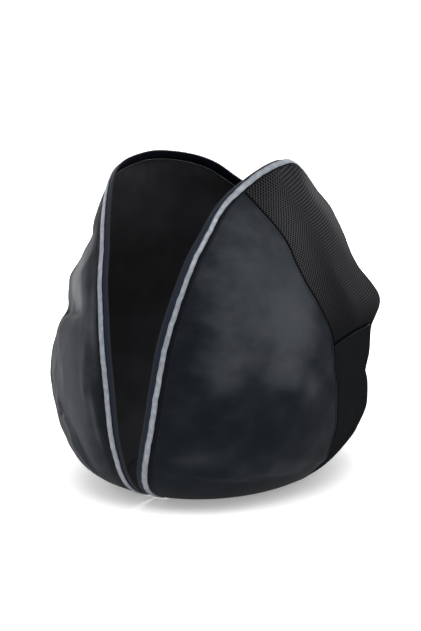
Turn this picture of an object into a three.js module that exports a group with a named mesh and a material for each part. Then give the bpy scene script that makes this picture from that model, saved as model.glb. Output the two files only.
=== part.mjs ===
// A soft bag for one full-face motorcycle helmet, standing open with its two side walls apart.
// Millimetres, +Z up, front towards -Y, and the origin on the floor in the middle of the base.
// Each side wall is a sewn shell: a smooth front panel, a mesh panel and a plain rear panel over
// one lining. The zip runs from the base at the front, over the top, to the base at the back.
import * as THREE from "three";

// The body: its overall size, and the round between the walls and the flat base
const wall_height = 300;
const half_width = 142;
const half_depth = 170;
const base_round = 42;

// Cloth thicknesses and the clearances between pieces
const panel_thickness = 1.2;
const mesh_thickness = 1.9;
const lining_thickness = 1.0;
const base_thickness = 1.6;
const layer_gap = 0.35;
const seam_gap = 0.4;

// The edge of each wall: a reflective strip over the zip's tape, which carries on past the strip
// to its coil. Where the zip is closed its coils are closed_gap apart, and at the front they meet at
// the base, front_meet from the middle of the bag.
const strip_width = 6.4;
const strip_thickness = 1.2;
const strip_proud = 0.3;
const strip_corner = 0.4;
const tape_reach = 2.2;
const tape_thickness = 0.8;
const coil_width = 2.0;
const coil_thickness = 1.8;
const closed_gap = 1.2;
const front_meet = -8;
const edge_setback = 8;

// The slider, parked where the open part of the zip ends at the back
const slider_height = 142;
const slider_width = 10;
const slider_length = 13;
const slider_neck = 5;
const slider_thickness = 2.4;
const pull_width = 5;
const pull_length = 24;

// How finely the walls are faceted
const front_steps = 16;
const rear_steps = 21;
const mesh_rows = 7;
const lower_rows = 6;
const base_steps = 48;

// The power that crowds a panel's rows towards the edge and the base
const row_crowding = 1.4;

// The share of the edge that the front panel takes, and the share of the way down that the mesh
// does. Beside the mesh the side seam leans back, by a share of the edge that fades out over
// lean_reach to both sides of the seam.
const front_share = 0.418;
const mesh_share = 0.465;
const lean_start = 0.2;
const seam_lean = 0.018;
const lean_reach = 0.12;

// How a rib turns between the edge and the base: the share of its turn just under the edge, and how
// soon that share is over
const hook_share = 0.6;
const hook_sharpness = 12;

// Level sections of the body before its base is rounded. Height is a share of wall_height, left and
// right are shares of half_width, and front and back are shares of half_depth.
const sections = [
  { height: 0.0, left: 0.84, right: 0.79, front: 0.77, back: 0.85 },
  { height: 0.08, left: 0.88, right: 0.84, front: 0.87, back: 0.89 },
  { height: 0.2, left: 0.95, right: 0.94, front: 0.96, back: 0.96 },
  { height: 0.3, left: 0.995, right: 0.965, front: 0.99, back: 0.98 },
  { height: 0.4, left: 0.985, right: 0.965, front: 1.0, back: 1.0 },
  { height: 0.5, left: 0.93, right: 0.95, front: 0.99, back: 1.0 },
  { height: 0.6, left: 0.86, right: 0.89, front: 0.94, back: 0.97 },
  { height: 0.7, left: 0.79, right: 0.8, front: 0.86, back: 0.9 },
  { height: 0.8, left: 0.73, right: 0.7, front: 0.74, back: 0.82 },
  { height: 0.88, left: 0.69, right: 0.58, front: 0.62, back: 0.69 },
  { height: 0.94, left: 0.65, right: 0.53, front: 0.52, back: 0.6 },
  { height: 1.0, left: 0.58, right: 0.5, front: 0.4, back: 0.46 },
];

// The edge of each wall, from the base at the front, over the top, to the base at the back. Turn and
// height place the edge on the body, foot is the turn where the rib from there meets the base, roll
// is how far the strip leans in from the wall, and tuck how much further the tape past it does. Turn
// and foot count from the side of the wall, negative towards the front, and at 90 the wall's coil
// meets the other wall's. All but height are in degrees, and height is a share of wall_height.
const right_edge = [
  { turn: -90, height: 0.0, foot: -85, roll: 0, tuck: 0 },
  { turn: -89, height: 0.04, foot: -82, roll: 0, tuck: 0 },
  { turn: -86, height: 0.11, foot: -76.5, roll: 0, tuck: 10 },
  { turn: -81, height: 0.25, foot: -67.5, roll: 0, tuck: 20 },
  { turn: -77.5, height: 0.39, foot: -58, roll: 0, tuck: 20 },
  { turn: -74, height: 0.54, foot: -47.5, roll: 0, tuck: 20 },
  { turn: -69, height: 0.67, foot: -37.5, roll: 0, tuck: 25 },
  { turn: -63.5, height: 0.77, foot: -29, roll: 5, tuck: 30 },
  { turn: -52.5, height: 0.87, foot: -17.5, roll: 15, tuck: 40 },
  { turn: -34, height: 0.94, foot: -5, roll: 35, tuck: 50 },
  { turn: -12.5, height: 0.97, foot: 4, roll: 50, tuck: 40 },
  { turn: 11, height: 0.967, foot: 16, roll: 50, tuck: 40 },
  { turn: 32, height: 0.91, foot: 27, roll: 40, tuck: 45 },
  { turn: 52.5, height: 0.84, foot: 38, roll: 20, tuck: 40 },
  { turn: 69, height: 0.79, foot: 48, roll: 5, tuck: 30 },
  { turn: 81.5, height: 0.73, foot: 57, roll: 0, tuck: 15 },
  { turn: 89, height: 0.65, foot: 65, roll: 0, tuck: 0 },
  { turn: 90, height: 0.5, foot: 73, roll: 0, tuck: 0 },
  { turn: 90, height: 0.2, foot: 80.5, roll: 0, tuck: 0 },
  { turn: 90, height: 0.04, foot: 83.5, roll: 0, tuck: 0 },
  { turn: 90, height: 0.0, foot: 85.5, roll: 0, tuck: 0 },
];
const left_edge = [
  { turn: -90, height: 0.0, foot: -87.5, roll: 0, tuck: 0 },
  { turn: -90, height: 0.04, foot: -85, roll: 0, tuck: 0 },
  { turn: -91, height: 0.11, foot: -83, roll: 0, tuck: 0 },
  { turn: -90, height: 0.25, foot: -74.5, roll: 0, tuck: 10 },
  { turn: -89, height: 0.39, foot: -65, roll: 0, tuck: 20 },
  { turn: -85.5, height: 0.53, foot: -55, roll: 0, tuck: 25 },
  { turn: -78.5, height: 0.65, foot: -45.5, roll: 0, tuck: 25 },
  { turn: -70.5, height: 0.74, foot: -36, roll: 0, tuck: 25 },
  { turn: -57, height: 0.82, foot: -26.5, roll: 0, tuck: 25 },
  { turn: -43.5, height: 0.872, foot: -15.5, roll: 0, tuck: 25 },
  { turn: -23, height: 0.915, foot: -5, roll: 0, tuck: 25 },
  { turn: 0, height: 0.935, foot: 7, roll: 0, tuck: 25 },
  { turn: 22, height: 0.948, foot: 18, roll: 0, tuck: 25 },
  { turn: 45.5, height: 0.932, foot: 29, roll: 0, tuck: 25 },
  { turn: 61, height: 0.9, foot: 39, roll: 0, tuck: 25 },
  { turn: 71.5, height: 0.85, foot: 47.5, roll: 0, tuck: 20 },
  { turn: 81, height: 0.785, foot: 56.5, roll: 0, tuck: 10 },
  { turn: 89, height: 0.7, foot: 64.5, roll: 0, tuck: 0 },
  { turn: 90, height: 0.52, foot: 72, roll: 0, tuck: 0 },
  { turn: 90, height: 0.2, foot: 80, roll: 0, tuck: 0 },
  { turn: 90, height: 0.04, foot: 84, roll: 0, tuck: 0 },
  { turn: 90, height: 0.0, foot: 86.5, roll: 0, tuck: 0 },
];

// Dents and swells of the cloth. Angle is in degrees and height a share of wall_height. Tall and wide
// are the reach up and round the wall, lean turns the fold, and depth is out of the wall: shares of
// half_depth, but lean is in degrees.
const right_folds = [
  { name: "belly", angle: 34, height: 0.525, tall: 0.12, wide: 0.3, lean: 0, depth: 0.078 },
  { name: "waist", angle: 38, height: 0.34, tall: 0.06, wide: 0.22, lean: 10, depth: -0.06 },
  { name: "hip", angle: 34, height: 0.2, tall: 0.08, wide: 0.25, lean: 0, depth: 0.018 },
];
const left_folds = [
  { name: "neck", angle: -36, height: 0.745, tall: 0.06, wide: 0.25, lean: 0, depth: -0.024 },
  { name: "cheek", angle: -36, height: 0.64, tall: 0.05, wide: 0.25, lean: -8, depth: 0.02 },
  { name: "pinch", angle: -40, height: 0.55, tall: 0.06, wide: 0.3, lean: -12, depth: -0.03 },
];

const walls = [
  { name: "left", side: -1, edge: left_edge, folds: left_folds },
  { name: "right", side: 1, edge: right_edge, folds: right_folds },
];

// A smooth curve through a table's rows: cubic pieces whose slopes come from the rows either side.
function fromTable(rows, key, column, at) {
  const last = rows.length - 1;
  let i = 0;
  while (i < last - 1 && at > rows[i + 1][key]) i += 1;
  const slope = (k) => {
    const a = rows[Math.max(k - 1, 0)];
    const b = rows[Math.min(k + 1, last)];
    return (b[column] - a[column]) / (b[key] - a[key]);
  };
  const step = rows[i + 1][key] - rows[i][key];
  const u = THREE.MathUtils.clamp((at - rows[i][key]) / step, 0, 1);
  const v = 1 - u;
  return (
    rows[i][column] * (1 + 2 * u) * v * v +
    rows[i + 1][column] * (3 - 2 * u) * u * u +
    step * u * v * (slope(i) * v - slope(i + 1) * u)
  );
}

// Length of the wall's profile from the base up to a height, and back again.
const round_length = (base_round * Math.PI) / 2;
function lengthAt(z) {
  if (z >= base_round) return round_length + z - base_round;
  return base_round * Math.acos(1 - Math.max(z, 0) / base_round);
}
function heightAt(length) {
  if (length >= round_length) return length - round_length + base_round;
  return base_round * (1 - Math.cos(length / base_round));
}

// How far the body is drawn in at a height by the round at its base.
function drawnIn(z) {
  if (z >= base_round) return 0;
  const rise = 1 - z / base_round;
  return base_round * (1 - Math.sqrt(1 - rise * rise));
}

// Outward swell of the wall's folds, fading out at the base.
function foldDepth(folds, angle, z) {
  let depth = 0;
  for (const fold of folds) {
    const round = THREE.MathUtils.degToRad(angle - fold.angle) * half_width;
    const up = z - fold.height * wall_height;
    const lean = THREE.MathUtils.degToRad(fold.lean);
    const across = (round * Math.cos(lean) + up * Math.sin(lean)) / (fold.wide * half_depth);
    const along = (up * Math.cos(lean) - round * Math.sin(lean)) / (fold.tall * half_depth);
    depth += fold.depth * half_depth * Math.exp(-across * across - along * along);
  }
  return depth * THREE.MathUtils.smoothstep(z, 0, base_round);
}

// How far the body reaches to one side, to the front or to the back at a height.
const bodyReach = (whole, column, z) =>
  whole * fromTable(sections, "height", column, z / wall_height) - drawnIn(z);

// A point of the body on one wall, by its angle and height.
function bodyPoint(wall, angle, z) {
  const turn = THREE.MathUtils.degToRad(angle);
  const width = bodyReach(half_width, wall.name, z);
  const depth = bodyReach(half_depth, angle < 0 ? "front" : "back", z);
  const swell = foldDepth(wall.folds, angle, z);
  return new THREE.Vector3(
    wall.side * (width + swell) * Math.cos(turn),
    (depth + swell) * Math.sin(turn),
    z,
  );
}

// The width of the strip, tape and coil together, and half of the gap between closed coils
const strip_from = seam_gap;
const strip_to = strip_from + strip_width;
const zip_half = strip_to + tape_reach + layer_gap + coil_width + closed_gap / 2;

// The angle of a turn round a wall at a height. At a turn of 90 the wall's edge is as far from where
// the coils meet as its strip, tape and coil are wide.
function angleAt(wall, turn, z) {
  const apart = turn < 0 ? zip_half + wall.side * front_meet : zip_half;
  const left_over = Math.asin(apart / bodyReach(half_width, wall.name, z));
  return (turn / 90) * (90 - THREE.MathUtils.radToDeg(left_over));
}

// Each row of an edge gets its share of the way along, from the distances between the rows.
for (const wall of walls) {
  const spots = wall.edge.map(({ turn, height }) => {
    const z = height * wall_height;
    return bodyPoint(wall, angleAt(wall, turn, z), z);
  });
  const reached = [0];
  for (let i = 1; i < spots.length; i += 1) {
    reached.push(reached[i - 1] + spots[i].distanceTo(spots[i - 1]));
  }
  wall.edge_length = reached[reached.length - 1];
  wall.edge.forEach((row, i) => {
    row.along = reached[i] / wall.edge_length;
  });
}

// A place on the wall's outer face: along follows the edge from front to back, and down goes from
// the edge (0) to the base (1) on a rib that turns most just under the edge.
function wallPlace(wall, along, down) {
  const beside = (along - front_share) / lean_reach;
  const lean = seam_lean * THREE.MathUtils.smoothstep(down, lean_start, mesh_share);
  const leant = along + lean * Math.exp(-beside * beside);
  const height = fromTable(wall.edge, "along", "height", leant) * wall_height;
  const angle = angleAt(wall, fromTable(wall.edge, "along", "turn", leant), height);
  const foot = angleAt(wall, fromTable(wall.edge, "along", "foot", leant), 0);
  const turned = hook_share * (1 - Math.pow(1 - down, hook_sharpness)) + (1 - hook_share) * down;
  return [angle + (foot - angle) * turned, heightAt(lengthAt(height) * (1 - down))];
}
const wallPoint = (wall, along, down) => bodyPoint(wall, ...wallPlace(wall, along, down));
const wallNormal = (wall, along, down) => bodyNormal(wall, ...wallPlace(wall, along, down));

// The body's outward normal, from short steps round it and up its profile.
const probe = 1e-3;
function bodyNormal(wall, angle, z) {
  const length = lengthAt(z);
  const low = heightAt(Math.max(length - probe * wall_height, 0));
  const high = heightAt(length + probe * wall_height);
  const around = bodyPoint(wall, angle + probe, z).sub(bodyPoint(wall, angle - probe, z));
  const up = bodyPoint(wall, angle, high).sub(bodyPoint(wall, angle, low));
  return new THREE.Vector3().crossVectors(around, up).multiplyScalar(wall.side).normalize();
}

// The way off the wall's edge, in the wall's surface.
function offEdge(wall, along, normal) {
  const from = wallPoint(wall, Math.max(along - probe, 0), 0);
  const run = wallPoint(wall, Math.min(along + probe, 1), 0).sub(from);
  return new THREE.Vector3().crossVectors(normal, run).multiplyScalar(wall.side).normalize();
}

// A closed geometry from triangles of an indexed list of points, turned to face outwards.
function closedGeometry(points, triangles) {
  let volume = 0;
  for (const [a, b, c] of triangles) {
    volume += points[a].dot(new THREE.Vector3().crossVectors(points[b], points[c]));
  }
  const facing = volume < 0 ? triangles.map(([a, b, c]) => [a, c, b]) : triangles;
  const geometry = new THREE.BufferGeometry();
  geometry.setAttribute(
    "position",
    new THREE.Float32BufferAttribute(points.flatMap((p) => [p.x, p.y, p.z]), 3),
  );
  geometry.setIndex(facing.flat());
  geometry.computeVertexNormals();
  return geometry;
}

const evenly = (from, to, steps) =>
  Array.from({ length: steps + 1 }, (_, i) => from + ((to - from) * i) / steps);

// A sheet of cloth that follows the wall between two depths below its outer face. Its rows are
// places down the wall, from a function of the place along the edge.
function sheetGeometry(wall, alongs, downsAt, outer, inner) {
  const points = [];
  for (const depth of [outer, inner]) {
    for (const along of alongs) {
      for (const down of downsAt(along)) {
        const normal = wallNormal(wall, along, down);
        points.push(wallPoint(wall, along, down).addScaledVector(normal, -depth));
      }
    }
  }
  const columns = downsAt(alongs[0]).length;
  const layer = alongs.length * columns;
  const triangles = [];
  const quad = (a, b, c, d) => triangles.push([a, b, c], [a, c, d]);
  for (let i = 0; i < alongs.length - 1; i += 1) {
    for (let j = 0; j < columns - 1; j += 1) {
      const k = i * columns + j;
      quad(k, k + 1, k + columns + 1, k + columns);
      quad(layer + k, layer + k + columns, layer + k + columns + 1, layer + k + 1);
    }
    for (const j of [0, columns - 1]) {
      const k = i * columns + j;
      if (j === 0) quad(k, k + columns, layer + k + columns, layer + k);
      else quad(k, layer + k, layer + k + columns, k + columns);
    }
  }
  for (let j = 0; j < columns - 1; j += 1) {
    const k = (alongs.length - 1) * columns + j;
    quad(j, layer + j, layer + j + 1, j + 1);
    quad(k, k + 1, layer + k + 1, layer + k);
  }
  return closedGeometry(points, triangles);
}

// A strip swept along the wall's edge. Its section, from the turns at each place, is a list of [off
// the edge, out of the wall], leant in by the roll about the strip's low corner at the panel.
function edgeGeometry(wall, alongs, sectionAt) {
  const points = [];
  const turnAt = (column, along) =>
    THREE.MathUtils.degToRad(fromTable(wall.edge, "along", column, along));
  for (const along of alongs) {
    const normal = wallNormal(wall, along, 0);
    const way_off = offEdge(wall, along, normal);
    const roll = turnAt("roll", along);
    for (const [off, out] of sectionAt(turnAt("tuck", along), roll)) {
      const from = [off - strip_from, out - strip_low];
      const leant_off = strip_from + from[0] * Math.cos(roll) + from[1] * Math.sin(roll);
      const leant_out = strip_low - from[0] * Math.sin(roll) + from[1] * Math.cos(roll);
      const point = wallPoint(wall, along, 0).addScaledVector(way_off, leant_off);
      points.push(point.addScaledVector(normal, leant_out));
    }
  }
  // Every face is split the same way across, so that faces which lie over each other stay apart.
  const flat = sectionAt(0, 0);
  const around = flat.length;
  const triangles = [];
  for (let i = 0; i < alongs.length - 1; i += 1) {
    for (let j = 0; j < around; j += 1) {
      const next = (j + 1) % around;
      const a = i * around + j;
      const b = i * around + next;
      if (flat[next][0] >= flat[j][0]) {
        triangles.push([a, b, b + around], [a, b + around, a + around]);
      } else {
        triangles.push([a, b, a + around], [b, b + around, a + around]);
      }
    }
  }
  const end = (alongs.length - 1) * around;
  for (let j = 1; j < around - 1; j += 1) {
    triangles.push([0, j + 1, j], [end, end + j, end + j + 1]);
  }
  return closedGeometry(points, triangles);
}

// The strip's section, flat with its four corners cut.
const strip_low = strip_proud - strip_thickness;
function stripSection() {
  return [
    [strip_from + strip_corner, strip_low],
    [strip_to - strip_corner, strip_low],
    [strip_to, strip_low + strip_corner],
    [strip_to, strip_proud - strip_corner],
    [strip_to - strip_corner, strip_proud],
    [strip_from + strip_corner, strip_proud],
    [strip_from, strip_proud - strip_corner],
    [strip_from, strip_low + strip_corner],
  ];
}

// The tape lies flat under the strip and bends in where it comes out. Where the strip leans in, the
// tape starts further off, clear of the panel. The coil carries on from the tape.
const tape_top = strip_low - layer_gap;
const tape_middle = tape_top - tape_thickness / 2;
function pastStrip(tuck, off, out) {
  return [
    strip_to + off * Math.cos(tuck) + out * Math.sin(tuck),
    tape_middle - off * Math.sin(tuck) + out * Math.cos(tuck),
  ];
}
function tapeSection(tuck, roll) {
  const half = tape_thickness / 2;
  const mitre = half * Math.tan(tuck / 2);
  const tape_low = tape_middle - half;
  const tape_from = strip_from + (strip_low - tape_low) * Math.tan(roll);
  return [
    [tape_from, tape_low],
    [strip_to - mitre, tape_middle - half],
    pastStrip(tuck, tape_reach, -half),
    pastStrip(tuck, tape_reach, half),
    [strip_to + mitre, tape_middle + half],
    [tape_from, tape_middle + half],
  ];
}
function coilSection(tuck) {
  const half = coil_thickness / 2;
  const coil_from = tape_reach + layer_gap;
  return [
    pastStrip(tuck, coil_from, -half),
    pastStrip(tuck, coil_from + coil_width, -half),
    pastStrip(tuck, coil_from + coil_width, half),
    pastStrip(tuck, coil_from, half),
  ];
}

const finishes = {
  satin: { color: 0x1c1f23, roughness: 0.55, metalness: 0 },
  mesh: { color: 0x232427, roughness: 0.85, metalness: 0 },
  lining: { color: 0x111113, roughness: 0.6, metalness: 0 },
  reflective: { color: 0xa3a8ad, roughness: 0.45, metalness: 0.1 },
  zip: { color: 0x141518, roughness: 0.6, metalness: 0 },
  metal: { color: 0x2a2b2d, roughness: 0.4, metalness: 0.8 },
};
const bag = new THREE.Group();
function addPiece(name, geometry, finish) {
  const mesh = new THREE.Mesh(geometry, new THREE.MeshStandardMaterial(finishes[finish]));
  mesh.name = name;
  bag.add(mesh);
  return mesh;
}

// The places along the edge where each wall has its columns. The strips beside the edge share them.
function wallAlongs(wall) {
  const setback = edge_setback / wall.edge_length;
  const seam = seam_gap / 2 / wall.edge_length;
  const front = [0, ...evenly(setback, front_share - seam, front_steps - 1)];
  const rear = [...evenly(front_share + seam, 1 - setback, rear_steps - 1), 1];
  const whole = [...front.slice(0, -1), front_share, ...rear.slice(1)];
  return { front, rear, whole, edge: whole.slice(1, -1) };
}

// Rows down the wall, closest together near its edge and its base, above and below the mesh seam.
const mesh_shares = evenly(0, 1, mesh_rows).map((share) => Math.pow(share, row_crowding));
const lower_shares = evenly(0, 1, lower_rows).map((share) => 1 - Math.pow(1 - share, row_crowding));
const upperRows = (gap) => mesh_shares.map((share) => (mesh_share - gap) * share);
const lowerRows = (gap) =>
  lower_shares.map((share) => mesh_share + gap + (1 - mesh_share - gap) * share);
const allRows = () => [...upperRows(0), ...lowerRows(0).slice(1)];

// The side walls
const lining_top = mesh_thickness + layer_gap;
for (const wall of walls) {
  const alongs = wallAlongs(wall);
  const rowGap = (along) =>
    seam_gap / 2 / wallPoint(wall, along, 0).distanceTo(wallPoint(wall, along, 1));
  addPiece(
    wall.name + "_front_panel",
    sheetGeometry(wall, alongs.front, allRows, 0, panel_thickness),
    "satin",
  );
  addPiece(
    wall.name + "_mesh_panel",
    sheetGeometry(wall, alongs.rear, (along) => upperRows(rowGap(along)), 0, mesh_thickness),
    "mesh",
  );
  addPiece(
    wall.name + "_rear_panel",
    sheetGeometry(wall, alongs.rear, (along) => lowerRows(rowGap(along)), 0, panel_thickness),
    "satin",
  );
  addPiece(
    wall.name + "_lining",
    sheetGeometry(wall, alongs.whole, allRows, lining_top, lining_top + lining_thickness),
    "lining",
  );
}

// The strip, tape and coil along each edge
for (const wall of walls) {
  const { edge } = wallAlongs(wall);
  addPiece(wall.name + "_reflective_strip", edgeGeometry(wall, edge, stripSection), "reflective");
  addPiece(wall.name + "_zip_tape", edgeGeometry(wall, edge, tapeSection), "zip");
  addPiece(wall.name + "_zip_coil", edgeGeometry(wall, edge, coilSection), "zip");
}

// The flat base and the lining over it, both cut to the walls' feet
function baseOutline(inset, steps) {
  const outline = [];
  for (const wall of [walls[1], walls[0]]) {
    for (const share of evenly(0, 1, steps / 2).slice(0, -1)) {
      const angle = wall.side * THREE.MathUtils.lerp(-90, 90, share);
      const foot = bodyPoint(wall, angle, 0);
      const reach = Math.hypot(foot.x, foot.y);
      foot.multiplyScalar((reach - inset) / reach);
      outline.push(new THREE.Vector2(foot.x, foot.y));
    }
  }
  return new THREE.Shape(outline);
}
const flatPiece = (inset, thickness) =>
  new THREE.ExtrudeGeometry(baseOutline(inset, base_steps), {
    depth: thickness,
    bevelEnabled: false,
  });
addPiece("base_panel", flatPiece(seam_gap, base_thickness), "satin");
const floor_lining = addPiece("floor_lining", flatPiece(seam_gap, lining_thickness), "lining");
floor_lining.position.z = lining_top;

// The slider and its hanging pull, one plain piece on the closed coils at the back
const slider_outline = new THREE.Shape([
  new THREE.Vector2(-slider_width / 2, slider_length),
  new THREE.Vector2(-slider_width / 2, slider_neck),
  new THREE.Vector2(-pull_width / 2, 0),
  new THREE.Vector2(-pull_width / 2, -pull_length),
  new THREE.Vector2(pull_width / 2, -pull_length),
  new THREE.Vector2(pull_width / 2, 0),
  new THREE.Vector2(slider_width / 2, slider_neck),
  new THREE.Vector2(slider_width / 2, slider_length),
]);
const slider = addPiece(
  "zip_slider",
  new THREE.ExtrudeGeometry(slider_outline, { depth: slider_thickness, bevelEnabled: false }),
  "metal",
);
const slider_seat = bodyPoint(walls[1], 90, slider_height);
slider.position.set(0, slider_seat.y + strip_proud + layer_gap, slider_seat.z);
slider.rotation.x = Math.PI / 2;
slider.rotation.y = Math.PI;

export default bag;
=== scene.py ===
"""The dressed model of a soft helmet bag, standing open with its walls apart.

Metres, +Z up, front towards -Y, and the origin on the floor in the middle of the base. The walls
are worked out with the same formulas as the solid part, on finer grids, with creases, seams,
stitches and zip coils added to them. A wall is a function of two numbers: along runs with its edge
from the base at the front, over the top, to the base at the back, and down runs from the edge to
the base.
"""

import math
from typing import NamedTuple

import bpy
import numpy as np
from bpy.props import FloatProperty, FloatVectorProperty, IntProperty, PointerProperty
from mathutils import Matrix, Vector


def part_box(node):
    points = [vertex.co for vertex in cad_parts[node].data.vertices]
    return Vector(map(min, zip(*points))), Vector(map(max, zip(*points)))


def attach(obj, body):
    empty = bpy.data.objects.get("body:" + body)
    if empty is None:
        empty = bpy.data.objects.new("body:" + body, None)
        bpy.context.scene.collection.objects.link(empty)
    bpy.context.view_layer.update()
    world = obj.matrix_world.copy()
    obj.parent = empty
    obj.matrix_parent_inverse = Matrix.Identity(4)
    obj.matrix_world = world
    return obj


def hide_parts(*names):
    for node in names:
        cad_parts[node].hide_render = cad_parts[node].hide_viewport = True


bl_info = {
    "name": "Motorcycle helmet bag",
    "version": (1, 0, 0),
    "blender": (4, 5, 0),
    "location": "3D View > Sidebar > Helmet bag",
    "description": "Builds a soft helmet bag from its sizes, piece by piece",
    "category": "Object",
}

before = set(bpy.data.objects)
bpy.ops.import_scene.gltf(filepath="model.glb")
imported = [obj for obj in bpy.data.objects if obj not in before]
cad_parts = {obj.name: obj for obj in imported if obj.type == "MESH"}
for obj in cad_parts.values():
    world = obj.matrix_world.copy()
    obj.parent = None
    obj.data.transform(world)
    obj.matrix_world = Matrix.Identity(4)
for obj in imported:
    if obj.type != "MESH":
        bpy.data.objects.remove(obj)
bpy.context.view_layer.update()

MM = 0.001


# Short tables. The first column is the one that the others are read by, unless another is named.


class Table:
    """Rows of named columns, read as smooth curves."""

    def __init__(self, columns, *rows):
        self.columns = columns.split()
        self.rows = np.array(rows, float)

    def column(self, name):
        """The numbers of one column."""
        return self.rows[:, self.columns.index(name)]

    def read(self, name, where, keys=None):
        """Cubic pieces through the rows. A row's slope is that between the rows either side."""
        keys = self.column(self.columns[0]) if keys is None else keys
        values = self.column(name)
        last = len(keys) - 1
        before = np.maximum(np.arange(last + 1) - 1, 0)
        after = np.minimum(np.arange(last + 1) + 1, last)
        slopes = (values[after] - values[before]) / (keys[after] - keys[before])
        i = np.clip(np.searchsorted(keys, where) - 1, 0, last - 1)
        step = keys[i + 1] - keys[i]
        u = np.clip((where - keys[i]) / step, 0, 1)
        v = 1 - u
        ends = values[i] * (1 + 2 * u) * v * v + values[i + 1] * (3 - 2 * u) * u * u
        return ends + step * u * v * (slopes[i] * v - slopes[i + 1] * u)


# Level sections of the body before its base is rounded: height is a share of the wall's height,
# left and right of the half width, front and back of the half depth.
SECTIONS = Table(
    "height left right front back",
    (0.0, 0.84, 0.79, 0.77, 0.85),
    (0.08, 0.88, 0.84, 0.87, 0.89),
    (0.2, 0.95, 0.94, 0.96, 0.96),
    (0.3, 0.995, 0.965, 0.99, 0.98),
    (0.4, 0.985, 0.965, 1.0, 1.0),
    (0.5, 0.93, 0.95, 0.99, 1.0),
    (0.6, 0.86, 0.89, 0.94, 0.97),
    (0.7, 0.79, 0.8, 0.86, 0.9),
    (0.8, 0.73, 0.7, 0.74, 0.82),
    (0.88, 0.69, 0.58, 0.62, 0.69),
    (0.94, 0.65, 0.53, 0.52, 0.6),
    (1.0, 0.58, 0.5, 0.4, 0.46),
)

# The edge of each wall. Turn and foot place a rib's upper and lower end round the wall: they count
# from its side, negative towards the front, and at 90 the wall's coil meets the other wall's. Roll
# is how far the strip leans in from the wall, and tuck how much further the tape past it does. All
# but height are in degrees, and height is a share of the wall's height.
RIGHT_EDGE = Table(
    "turn height foot roll tuck",
    (-90, 0.0, -85, 0, 0),
    (-89, 0.04, -82, 0, 0),
    (-86, 0.11, -76.5, 0, 10),
    (-81, 0.25, -67.5, 0, 20),
    (-77.5, 0.39, -58, 0, 20),
    (-74, 0.54, -47.5, 0, 20),
    (-69, 0.67, -37.5, 0, 25),
    (-63.5, 0.77, -29, 5, 30),
    (-52.5, 0.87, -17.5, 15, 40),
    (-34, 0.94, -5, 35, 50),
    (-12.5, 0.97, 4, 50, 40),
    (11, 0.967, 16, 50, 40),
    (32, 0.91, 27, 40, 45),
    (52.5, 0.84, 38, 20, 40),
    (69, 0.79, 48, 5, 30),
    (81.5, 0.73, 57, 0, 15),
    (89, 0.65, 65, 0, 0),
    (90, 0.5, 73, 0, 0),
    (90, 0.2, 80.5, 0, 0),
    (90, 0.04, 83.5, 0, 0),
    (90, 0.0, 85.5, 0, 0),
)
LEFT_EDGE = Table(
    "turn height foot roll tuck",
    (-90, 0.0, -87.5, 0, 0),
    (-90, 0.04, -85, 0, 0),
    (-91, 0.11, -83, 0, 0),
    (-90, 0.25, -74.5, 0, 10),
    (-89, 0.39, -65, 0, 20),
    (-85.5, 0.53, -55, 0, 25),
    (-78.5, 0.65, -45.5, 0, 25),
    (-70.5, 0.74, -36, 0, 25),
    (-57, 0.82, -26.5, 0, 25),
    (-43.5, 0.872, -15.5, 0, 25),
    (-23, 0.915, -5, 0, 25),
    (0, 0.935, 7, 0, 25),
    (22, 0.948, 18, 0, 25),
    (45.5, 0.932, 29, 0, 25),
    (61, 0.9, 39, 0, 25),
    (71.5, 0.85, 47.5, 0, 20),
    (81, 0.785, 56.5, 0, 10),
    (89, 0.7, 64.5, 0, 0),
    (90, 0.52, 72, 0, 0),
    (90, 0.2, 80, 0, 0),
    (90, 0.04, 84, 0, 0),
    (90, 0.0, 86.5, 0, 0),
)

# Dents and swells of the walls, as in the solid part: tall, wide and depth are shares of the half
# depth, and lean is in degrees.
RIGHT_FOLDS = Table(
    "angle height tall wide lean depth",
    (34, 0.525, 0.12, 0.3, 0, 0.078),
    (38, 0.34, 0.06, 0.22, 10, -0.06),
    (34, 0.2, 0.08, 0.25, 0, 0.018),
)
LEFT_FOLDS = Table(
    "angle height tall wide lean depth",
    (-36, 0.745, 0.06, 0.25, 0, -0.024),
    (-36, 0.64, 0.05, 0.25, -8, 0.02),
    (-40, 0.55, 0.06, 0.3, -12, -0.03),
)

# How much of each strip's far side is folded under, in millimetres, by the share of the edge from the
# front foot.
RIGHT_SLIMS = Table(
    "along trim",
    (0.0, 0.5),
    (0.1, 0.9),
    (0.2, 1.4),
    (0.3, 1.9),
    (0.42, 2.0),
    (0.55, 1.2),
    (0.7, 0.5),
    (1.0, 0.45),
)
LEFT_SLIMS = Table(
    "along trim",
    (0.0, 0.6),
    (0.3, 0.9),
    (0.6, 0.6),
    (1.0, 0.45),
)

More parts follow.
